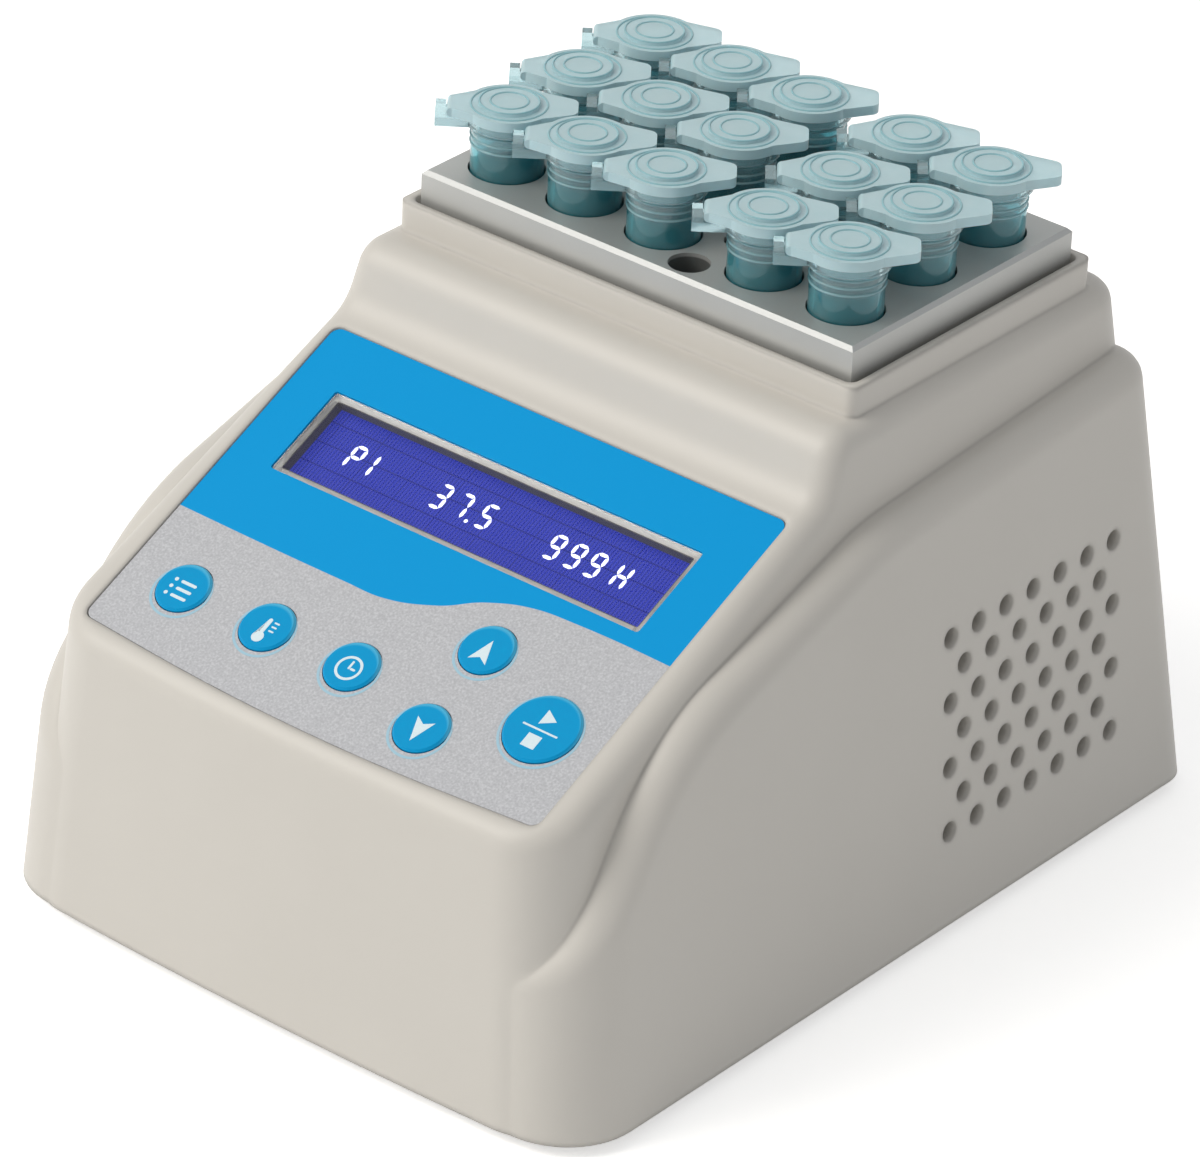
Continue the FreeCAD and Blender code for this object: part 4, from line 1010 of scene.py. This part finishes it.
@dataclass
class Housing:
    """The moulded shell with its cover, feet and screws.

    Args:
        recess_arm: Length of one arm of a screw's cross recess.
        recess_width: Width of an arm.
        recess_depth: Thickness of the dark cross.
        screws: Nodes of the screws.
    """

    recess_arm: float = 1.5 * MM
    recess_width: float = 0.6 * MM
    recess_depth: float = 0.06 * MM
    screws: tuple[str, ...] = ("cover_screw_1", "cover_screw_2", "cover_screw_3", "cover_screw_4")

    def add_recesses(self) -> None:
        """Add a dark cross of painted shadow in each screw's head, in place of its cross recess, with one
        tree for all four.
        """
        repeat = Repeater("cross_recesses")
        arm, width, depth = repeat.size("arm"), repeat.size("width"), repeat.size("depth")
        cross = repeat.add("GeometryNodeJoinGeometry")
        for sizes in ((arm, width, depth), (width, arm, depth)):
            corner = repeat.add("ShaderNodeCombineXYZ", sizes)
            repeat.feed(cross, {0: repeat.add("GeometryNodeMeshCube", {"Size": corner})})
        spread = repeat.add("GeometryNodeInstanceOnPoints", {"Points": repeat.start, "Instance": cross})
        repeat.finish(spread, Ink("recess_shadow", "17171a", "26262a").build())
        points = []
        for screw in self.screws:
            low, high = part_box(screw)
            points.append(Vector(((low.x + high.x) / 2, (low.y + high.y) / 2, low.z)))
        piece = repeat.run("screw_recesses", points, arm=2 * self.recess_arm, width=self.recess_width,
                           depth=self.recess_depth)
        add_piece(piece, "housing")

    def build(self) -> None:
        """Dress the shell, the cover, the feet and the screws, and add the painted shadow of the screws'
        recesses.
        """
        dress("upper_housing", MouldedPlastic("moulded_abs_shell", "cfccc6", "cbc8c2", 0.46, 0.6, 0.003,
                                              soften=1.6).build())
        dress("bottom_cover", MouldedPlastic("moulded_abs_cover", "b5b3ad", "adaba5", 0.55, 0.8,
                                             0.02).build())
        rubber = Rubber().build()
        for side in ("front_left", "front_right", "rear_left", "rear_right"):
            dress(f"foot_{side}", rubber)
        steel = Metal("zinc_plated_steel", "b9bbbe", "9fa1a4").build()
        for screw in self.screws:
            dress(screw, steel)
        self.add_recesses()


@dataclass
class Display:
    """The liquid-crystal display behind its pane: glass, lit segments and a grey sheet of painted shade
    round it.

    Args:
        digit_width: Width of a digit between the middles of its strokes.
        digit_height: Height of a digit between the middles of its strokes.
        stroke: Width of a segment.
        thickness: Thickness of a segment.
        level_share: Length of a level segment as a share of the digit's width.
        upright_share: Length of an upright segment as a share of the digit's height.
        middle: Height up the face of the digits' middle line.
        gap: Distance of the segments from the glass.
        shown: Each sign with the place of its left strokes across the face, in millimetres.
        dot_across: Place of the decimal point across the face.
        segments: Lit segments of each sign, by their usual letters.
        shade_sheet: Thickness of the grey sheet of painted shade on the window's walls.
        shade_sheet_low: Place of the sheet's underside out of the face; below it is negative.
        shade_sheet_high: Place of the sheet's upper side out of the face.
        ledge: Width of the ledge that carries the pane.
    """

    digit_width: float = 1.8 * MM
    digit_height: float = 3.95 * MM
    stroke: float = 0.56 * MM
    thickness: float = 0.02 * MM
    level_share: float = 0.98
    upright_share: float = 0.47
    middle: float = 41.72 * MM
    gap: float = 0.03 * MM
    shown: tuple[tuple[str, float], ...] = (
        ("P", -26.15), ("1", -23.65), ("3", -10.0), ("7", -6.15), ("5", -1.6),
        ("9", 10.9), ("9", 14.6), ("9", 18.2), ("H", 22.9))
    dot_across: float = -3.05 * MM
    segments: dict[str, str] = field(default_factory=lambda: {
        "P": "abefg", "1": "bc", "3": "abcdg", "7": "abc", "5": "acdfg", "9": "abcdfg", "H": "bcefg"})
    shade_sheet: float = 0.16 * MM
    shade_sheet_low: float = -2.5 * MM
    shade_sheet_high: float = -0.85 * MM
    ledge: float = 0.9 * MM

    def bars(self) -> list[tuple[Vector, float]]:
        """Work out the lit bars.

        Returns:
            The middle of each bar and its turn, in radians.
        """
        half, across, upright = self.digit_height / 2, self.digit_width / 2, math.pi / 2
        places = {"a": (0, half, 0.0), "d": (0, -half, 0.0), "g": (0, 0, 0.0),
                  "b": (across, half / 2, upright), "c": (across, -half / 2, upright),
                  "e": (-across, -half / 2, upright), "f": (-across, half / 2, upright)}
        lit = []
        for sign, left in self.shown:
            for letter in self.segments[sign]:
                x, y, turn = places[letter]
                spot = Vector((left * MM + across + x, self.middle + y, self.gap - FACE.drop))
                lit.append((spot, turn))
        return lit

    def add_segments(self, ink: bpy.types.Material) -> None:
        """Add the lit segments, with one tree that turns each bar by its own angle.

        Args:
            ink: Material of the segments.
        """
        repeat = Repeater("lit_segments")
        level, upright, stroke = repeat.size("level"), repeat.size("upright"), repeat.size("stroke")
        turn = repeat.add("GeometryNodeInputNamedAttribute", {"Name": "turn"}, data_type="FLOAT")
        standing = repeat.add("ShaderNodeMath", (turn, 0.5), operation="GREATER_THAN")
        change = repeat.add("ShaderNodeMath", (upright, level), operation="SUBTRACT")
        extra = repeat.add("ShaderNodeMath", (standing, change), operation="MULTIPLY")
        length = repeat.add("ShaderNodeMath", (level, extra), operation="ADD")
        # A hexagon is about 1.15 times wider over its corners than over its flats.
        breadth = repeat.add("ShaderNodeMath", (stroke, 1.15), operation="MULTIPLY")
        prism = repeat.add("GeometryNodeMeshCylinder",
                           {"Vertices": 6, "Radius": 0.5, "Depth": self.thickness})
        spread = repeat.add("GeometryNodeInstanceOnPoints", {
            "Points": repeat.start, "Instance": prism,
            "Rotation": repeat.add("ShaderNodeCombineXYZ", (0.0, 0.0, turn)),
            "Scale": repeat.add("ShaderNodeCombineXYZ", (length, breadth, 1.0))})
        repeat.finish(spread, ink)
        spots, turns = zip(*self.bars())
        piece = repeat.run("display_segments", spots, {"turn": turns}, FACE.matrix(),
                           level=self.digit_width * self.level_share,
                           upright=self.digit_height * self.upright_share, stroke=self.stroke)
        add_piece(piece, "housing")

    def add_point(self, ink: bpy.types.Material) -> None:
        """Add the decimal point.

        Args:
            ink: Its material.
        """
        outline = dot(self.dot_across, self.middle - self.digit_height / 2, self.stroke * 0.55)
        level, half = self.gap - FACE.drop, self.thickness / 2
        add_piece(plates("display_point", [outline], level - half, level + half, FACE.matrix(), ink),
                  "housing")

    def add_shade_sheet(self) -> None:
        """Add the grey sheet of painted shade on the window's walls, a ledge's width inside the pane's edge.
        """
        spots = FACE.spots_on("display_lens")
        left, low = (min(spot[axis] for spot in spots) + self.ledge for axis in range(2))
        right, high = (max(spot[axis] for spot in spots) - self.ledge for axis in range(2))
        wall = self.shade_sheet
        outlines = [rectangle(left, low, right, low + wall), rectangle(left, high - wall, right, high),
                    rectangle(left, low + wall, left + wall, high - wall),
                    rectangle(right - wall, low + wall, right, high - wall)]
        # Painted shade: the grey sheet stands in for the shade on the window's inner walls.
        grey = MouldedPlastic("grey_window_shade_sheet", "62605d", "555350", 0.5, 0.4).build()
        add_piece(plates("window_shade_sheet", outlines, self.shade_sheet_low, self.shade_sheet_high, FACE.matrix(), grey),
                  "housing")

    def build(self) -> None:
        """Dress the display and add its segments, point and sheet of painted shade."""
        dress("display_module", DisplayGlass().build())
        dress("display_lens", ClearPane().build())
        ink = Ink("lit_segment", "f4f6ff", "e6eaff", 0.8).build()
        self.add_segments(ink)
        self.add_point(ink)
        self.add_shade_sheet()


class Sign(Enum):
    """Pictograms on the keys, in place of words."""

    PROGRAM = "key_program"
    TEMPERATURE = "key_temperature"
    TIME = "key_time"
    DOWN = "key_down"
    UP = "key_up"
    START_STOP = "key_start"

    def outlines(self) -> list[list[Point]]:
        """Draw a list, a thermometer, a clock, an arrow or a triangle over a square.

        Returns:
            The sign's outlines round the key's middle, in millimetres.
        """
        arrow = [(0, 2.1), (-1.55, -1.9), (0, -1.05), (1.55, -1.9)]
        bulb = arc(0, -1.5, 0.95, 110, 430, 20)
        stem = [(0.33, 1.6), *arc(0, 1.6, 0.33, 0, 180, 8)[1:], (-0.33, -0.7)]
        shapes = {
            Sign.PROGRAM: [bar(-0.6, y, 1.7, y, 0.5) for y in (-1.3, 0.0, 1.3)]
            + [dot(-1.75, y, 0.32) for y in (-1.3, 0.0, 1.3)],
            Sign.TEMPERATURE: [bulb + stem] + [bar(0.95, y, 1.6, y, 0.28) for y in (0.0, 0.75, 1.5)],
            Sign.TIME: [*ring(0, 0, 2.1, 0.42), bar(0, 0, 0, 1.15, 0.36), bar(0.42, 0, 0.95, 0, 0.36)],
            Sign.DOWN: [[(-x, -y) for x, y in arrow]],
            Sign.UP: [arrow],
            Sign.START_STOP: [[(-0.95, 0.8), (1.35, 2.1), (-0.95, 3.4)], bar(-2.9, 0, 2.9, 0, 0.3),
                              rectangle(-1.15, -3.2, 1.15, -0.95)],
        }
        return shapes[self]


@dataclass
class ControlPanel:
    """The printed film with its keys.

    Args:
        print_height: How far printing stands above what it is on.
        halo: Width of the pale band round a key.
        hole_gap: Distance from a key to the band.
    """

    print_height: float = 0.03 * MM
    halo: float = 0.4 * MM
    hole_gap: float = 0.15 * MM

    def radius_of(self, key: str) -> float:
        """Find a key's radius."""
        low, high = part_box(key)
        return (high.x - low.x) / 2

    def add_sign(self, sign: Sign, ink: bpy.types.Material) -> None:
        """Print one key's pictogram.

        Args:
            sign: The pictogram.
            ink: Its material.
        """
        middle = FACE.place_of(sign.value)
        top = max(spot.z for spot in FACE.spots_on(sign.value))
        outlines = [[(middle.x + x * MM, middle.y + y * MM) for x, y in outline]
                    for outline in sign.outlines()]
        piece = plates(f"{sign.value}_sign", outlines, top - self.print_height, top + self.print_height,
                       FACE.matrix(), ink)
        add_piece(piece, sign.value)

    def add_halos(self) -> None:
        """Print the pale bands round the keys' holes."""
        outlines = []
        for sign in Sign:
            middle = FACE.place_of(sign.value)
            outer = self.radius_of(sign.value) + self.hole_gap + self.halo
            outlines += ring(middle.x, middle.y, outer, self.halo)
        halos = plates("key_halos", outlines, -self.print_height, self.print_height, FACE.matrix(),
                       Ink("halo_ink", "9dc6da", "a6c9d9").build())
        add_piece(halos, "housing")

    def build(self) -> None:
        """Dress the film and the keys and print the signs."""
        dress("panel_overlay", PanelPrint().build())
        ink = Ink("pale_sign_ink", "e4f3fa", "d6ecf6").build()
        for sign in Sign:
            middle, radius = FACE.place_of(sign.value), self.radius_of(sign.value)
            dress(sign.value, KeyPrint(f"{sign.value}_print", middle, radius).build())
            self.add_sign(sign, ink)
        self.add_halos()


@dataclass
class SampleTubes:
    """The lidded tubes, with the beads that their moulds leave.

    Args:
        hinge_reach: Distance from a lid's hinge to the tube's axis.
        neck_beads: Number of beads round the neck.
        bead_gap: Distance from bead to bead.
        bead: Radius of a bead round the neck.
        neck_radius: Radius of the neck.
        first_bead: Depth of the first bead below the lid's hinge line.
        crown_bead: Radius of a bead on the lid.
        crown_radius: Radius of the bead at the crown's edge.
        dish_radius: Radius of the inner ring on the crown.
        shoulder_radius: Radius of the ring outside the crown.
        shoulder_drop: Depth of that ring below the crown.
        neck_height: Height above the block at which the paler neck starts.
    """

    hinge_reach: float = 8.2 * MM
    neck_beads: int = 3
    bead_gap: float = 1.15 * MM
    bead: float = 0.2 * MM
    neck_radius: float = 5.42 * MM
    first_bead: float = 2.7 * MM
    crown_bead: float = 0.16 * MM
    crown_radius: float = 4.35 * MM
    dish_radius: float = 2.75 * MM
    shoulder_radius: float = 5.55 * MM
    shoulder_drop: float = 0.5 * MM
    neck_height: float = 4.6 * MM

    def names(self) -> list[str]:
        """List the places of the tubes, such as r1c1."""
        return sorted(body.removeprefix("tube_") for body in frame["bodies"] if body.startswith("tube_"))

    def middle_of(self, name: str) -> Vector:
        """Find a tube's axis at the height of its lid's hinge line.

        Args:
            name: Place of the tube.

        Returns:
            The point on the axis.
        """
        hinge = joint_of(f"lid_{name}")
        along = Vector((0, 0, 1)).cross(Vector(hinge["axis"])).normalized()
        return Vector(hinge["pos_m"]) + along * self.hinge_reach

    def bead_tree(self, name: str, material: bpy.types.Material) -> Repeater:
        """Make a tree that lays round beads on points that carry a radius.

        Args:
            name: Name of the tree.
            material: Material of the beads.

        Returns:
            The tree.
        """
        repeat = Repeater(name)
        bead = repeat.size("bead")
        radius = repeat.add("GeometryNodeInputNamedAttribute", {"Name": "radius"}, data_type="FLOAT")
        loop = repeat.add("GeometryNodeCurvePrimitiveCircle", {"Resolution": 40, "Radius": 1.0})
        round_bar = repeat.add("GeometryNodeCurvePrimitiveCircle", {"Resolution": 8, "Radius": bead})
        placed = repeat.add("GeometryNodeInstanceOnPoints", {
            "Points": repeat.start, "Instance": loop,
            "Scale": repeat.add("ShaderNodeCombineXYZ", (radius, radius, radius))})
        loops = repeat.add("GeometryNodeRealizeInstances", (placed,))
        swept = repeat.add("GeometryNodeCurveToMesh", (loops, round_bar))
        repeat.finish(repeat.add("GeometryNodeSetShadeSmooth", {"Geometry": swept}), material)
        return repeat

    def build(self) -> None:
        """Dress the tubes and lids and add their beads."""
        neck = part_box("heating_block")[1].z + self.neck_height
        walls = Polypropylene("tube_polypropylene", "74cad6", "62bfcc", 0.8, 0.08, level=neck).build()
        caps = Polypropylene("lid_polypropylene", "d8f2f8", "c8eaf1", 0.34, 0.28).build()
        ribs = Polypropylene("rib_polypropylene", "b4dce2", "a4d2da", 0.55, 0.12).build()
        rings = Polypropylene("ring_polypropylene", "acdbe3", "9dd2dc", 0.35, 0.3).build()
        necks = self.bead_tree("neck_beads", ribs)
        crowns = self.bead_tree("crown_beads", rings)
        for name in self.names():
            dress(f"tube_{name}", walls)
            dress(f"lid_{name}", caps)
            middle = self.middle_of(name)
            drops = [self.first_bead + step * self.bead_gap for step in range(self.neck_beads)]
            beads = necks.run(f"neck_beads_{name}", [middle - Vector((0, 0, drop)) for drop in drops],
                              {"radius": [self.neck_radius] * self.neck_beads}, bead=self.bead)
            add_piece(beads, f"tube_{name}")
            crown = Vector((middle.x, middle.y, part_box(f"lid_{name}")[1].z))
            points = [crown, crown, crown - Vector((0, 0, self.shoulder_drop))]
            radii = [self.crown_radius, self.dish_radius, self.shoulder_radius]
            beads = crowns.run(f"crown_beads_{name}", points, {"radius": radii}, bead=self.crown_bead)
            add_piece(beads, f"lid_{name}")


@dataclass
class HeatingBlock:
    """The lift-out block with the plate, film and sensors under it."""

    def build(self) -> None:
        """Dress the block and what lies under it."""
        plate = Metal("milled_aluminium", "c9cccf", "b4b7ba", 0.3, 1.4, (6.0, 1.0, 1.0))
        tray = MouldedPlastic("phenolic_resin", "d8d2c4", "cbc4b4", 0.6, 1.2, 0.02)
        dress("heating_block", BlastedAluminium("bead_blasted_aluminium").build())
        dress("heater_plate", plate.build())
        dress("heating_film", Ink("polyimide_film", "c0661c", "a65512").build())
        dress("insulating_tray", tray.build())
        dress("temperature_sensor", Metal("stainless_sleeve", "c4c6c8", "aeb0b3").build())
        dress("thermal_cutout", Metal("plated_can", "a8a9ab", "929395").build())


@dataclass
class Rear:
    """Socket and power switch at the back, and the boards inside.

    Args:
        mark: Half length of the marks on the rocker.
        mark_width: Width of a mark's stroke.
        print_height: How far a mark stands above the rocker.
        board: Thickness of a circuit board.
    """

    mark: float = 1.3 * MM
    mark_width: float = 0.45 * MM
    print_height: float = 0.03 * MM
    board: float = 1.6 * MM

    def dress_board(self, node: str, out: Vector) -> None:
        """Give a circuit board its material.

        Args:
            node: Name of the node.
            out: Direction out of the board's fitted side.
        """
        lowest = min(spot.dot(out) for spot in spots_of(node))
        dress(node, CircuitBoard(f"{node}_resist", out, lowest + self.board).build())

    def half_of_rocker(self, side: int) -> Matrix:
        """Find the middle of one half of the rocker's face.

        Args:
            side: -1 for the half on the left of the pivot, 1 for the one on its right.

        Returns:
            The matrix from that half's own coordinates, Z out of it, to the frame's.
        """
        pivot = joint_of("rocker")
        half = [face for face in frame["nodes"]["switch_rocker"].data.polygons
                if face.normal.y > 0.9 and (face.center.x - pivot["pos_m"][0]) * side > 0]
        out = max(half, key=lambda face: face.area).normal.copy()
        flat = [face for face in half if face.normal.dot(out) > 0.9999]
        whole = sum(face.area for face in flat)
        middle = sum((face.center * face.area for face in flat), Vector())
        up = -Vector(pivot["axis"]).normalized()
        turn = Matrix((up.cross(out), up, out)).transposed().to_4x4()
        return Matrix.Translation(middle / whole) @ turn

    def add_marks(self) -> None:
        """Print a line on the half that is pressed in, and a ring on the other."""
        ink = Ink("white_mark_ink", "e8e8e6", "dcdcda").build()
        marks = {"line": (-1, [bar(0, -self.mark, 0, self.mark, self.mark_width)]),
                 "ring": (1, ring(0, 0, self.mark, self.mark_width))}
        for name, (side, outlines) in marks.items():
            piece = plates(f"rocker_{name}_mark", outlines, -self.print_height, self.print_height,
                           self.half_of_rocker(side), ink)
            add_piece(piece, "rocker")

    def build(self) -> None:
        """Dress the rear pieces and the boards."""
        nylon = MouldedPlastic("black_nylon", "1c1c1e", "242426", 0.38, 0.5, 0.01).build()
        rocker = MouldedPlastic("black_rocker_nylon", "222224", "1a1a1c", 0.3, 0.9, 0.004).build()
        dress("switch_frame", nylon)
        dress("switch_rocker", rocker)
        dress("power_socket", nylon)
        self.add_marks()
        self.dress_board("control_board", Vector((0, 0, 1)))
        self.dress_board("key_board", FACE.outwards())


@dataclass
class Studio:
    """Plain white floor and room, one soft lamp, and the camera at the photograph's angle.

    Args:
        focal: Focal length for a sensor 36 mm wide, in millimetres.
        camera_place: Place of the camera.
        azimuth: How far round to the right the camera stands, in degrees.
        elevation: How far above the horizon it looks from, in degrees.
        roll: How far it is rolled, in degrees.
        floor_radius: Radius of the floor.
        room_light: Strength of the even light that the room gives the part.
        paper_glow: Strength of the floor's own light where the camera or a reflection sees it.
        lamp_place: Where the lamp hangs.
        lamp_aim: What the lamp looks at.
        lamp_size: Length of its side.
        lamp_power: Its power, in watts.
        lamp_tint: Colour of its light.
    """

    focal: float = 219.8
    camera_place: Triple = (0.56533, -0.72385, 0.56760)
    azimuth: float = 38.10
    elevation: float = 29.74
    roll: float = 2.84
    floor_radius: float = 4.0
    room_light: float = 0.44
    paper_glow: float = 0.5
    lamp_place: Triple = (-0.75, -1.0, 1.2)
    lamp_aim: Triple = (0.0, 0.0, 0.05)
    lamp_size: float = 1.0
    lamp_power: float = 17.6
    lamp_tint: str = "fffaf2"

    def add_camera(self) -> None:
        """Add the camera."""
        turn, rise, roll = (math.radians(angle) for angle in (self.azimuth, self.elevation, self.roll))
        back = Vector((math.sin(turn) * math.cos(rise), -math.cos(turn) * math.cos(rise), math.sin(rise)))
        right = Vector((math.cos(turn), math.sin(turn), 0))
        up = back.cross(right)
        rolled_right = right * math.cos(roll) + up * math.sin(roll)
        rolled_up = up * math.cos(roll) - right * math.sin(roll)
        lens = bpy.data.cameras.new("camera")
        lens.lens = self.focal
        lens.sensor_width = 36.0
        lens.clip_start, lens.clip_end = 0.01, 20.0
        camera = new_object("camera", lens)
        turned = Matrix((rolled_right, rolled_up, back)).transposed().to_4x4()
        camera.matrix_world = Matrix.Translation(Vector(self.camera_place)) @ turned
        bpy.context.scene.camera = camera

    def add_lamp(self) -> None:
        """Add the soft square lamp that looks at the part."""
        lamp = bpy.data.lights.new("key_light", "AREA")
        lamp.shape = "SQUARE"
        lamp.size = self.lamp_size
        lamp.energy = self.lamp_power
        lamp.color = colour(self.lamp_tint)[:3]
        hung = new_object("key_light", lamp)
        hung.location = self.lamp_place
        aim = Vector(self.lamp_aim) - Vector(self.lamp_place)
        hung.rotation_mode = "QUATERNION"
        hung.rotation_quaternion = aim.to_track_quat("-Z", "Y")

    def add_floor(self) -> None:
        """Add the floor, a wide round sheet that the white room meets at its edge."""
        shape = bmesh.new()
        shape.faces.new([shape.verts.new((x, y, 0.0)) for x, y in arc(0, 0, self.floor_radius, 0, 355, 71)])
        mesh = bpy.data.meshes.new("floor")
        shape.to_mesh(mesh)
        shape.free()
        mesh.materials.append(self.paper())
        new_object("floor", mesh)

    def paper(self) -> bpy.types.Material:
        """Make the floor's matt paper, which shows white to the camera and keeps the part's shadow.

        Returns:
            The material.
        """
        skin = Skin("studio_paper", Roughness=0.9, Emission_Color=colour("ffffff"))
        fibre = skin.mottle("ffffff", "fbfbfb", 4.0, 3.0)
        strength = skin.add("ShaderNodeMath", (skin.seen_share(), self.paper_glow), operation="MULTIPLY")
        skin.feed(skin.shader, {"Emission Strength": strength})
        return skin.finish(fibre)

    def add_world(self) -> None:
        """Fill the room with even white light, seen as white by the camera and in reflections."""
        world = bpy.data.worlds.new("room")
        bpy.context.scene.world = world
        world.use_nodes = True
        room = Tree(world.node_tree)
        extra = room.add("ShaderNodeMath", (room.seen_share(), 1 - self.room_light), operation="MULTIPLY")
        level = room.add("ShaderNodeMath", (self.room_light, extra), operation="ADD")
        sky = room.add("ShaderNodeBackground", {"Color": colour("ffffff"), "Strength": level})
        room.add("ShaderNodeOutputWorld", {"Surface": sky})

    def build(self) -> None:
        """Set up the whole studio."""
        bpy.context.scene.view_settings.view_transform = "Standard"
        self.add_camera()
        self.add_floor()
        self.add_world()
        self.add_lamp()


def main() -> None:
    """Build every sub-assembly in order."""
    logging.basicConfig(level=logging.INFO, format="%(name)s: %(message)s")
    for assembly in (Housing, ControlPanel, Display, SampleTubes, HeatingBlock, Rear, Studio):
        assembly().build()
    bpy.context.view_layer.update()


if __name__ == "__main__":
    main()
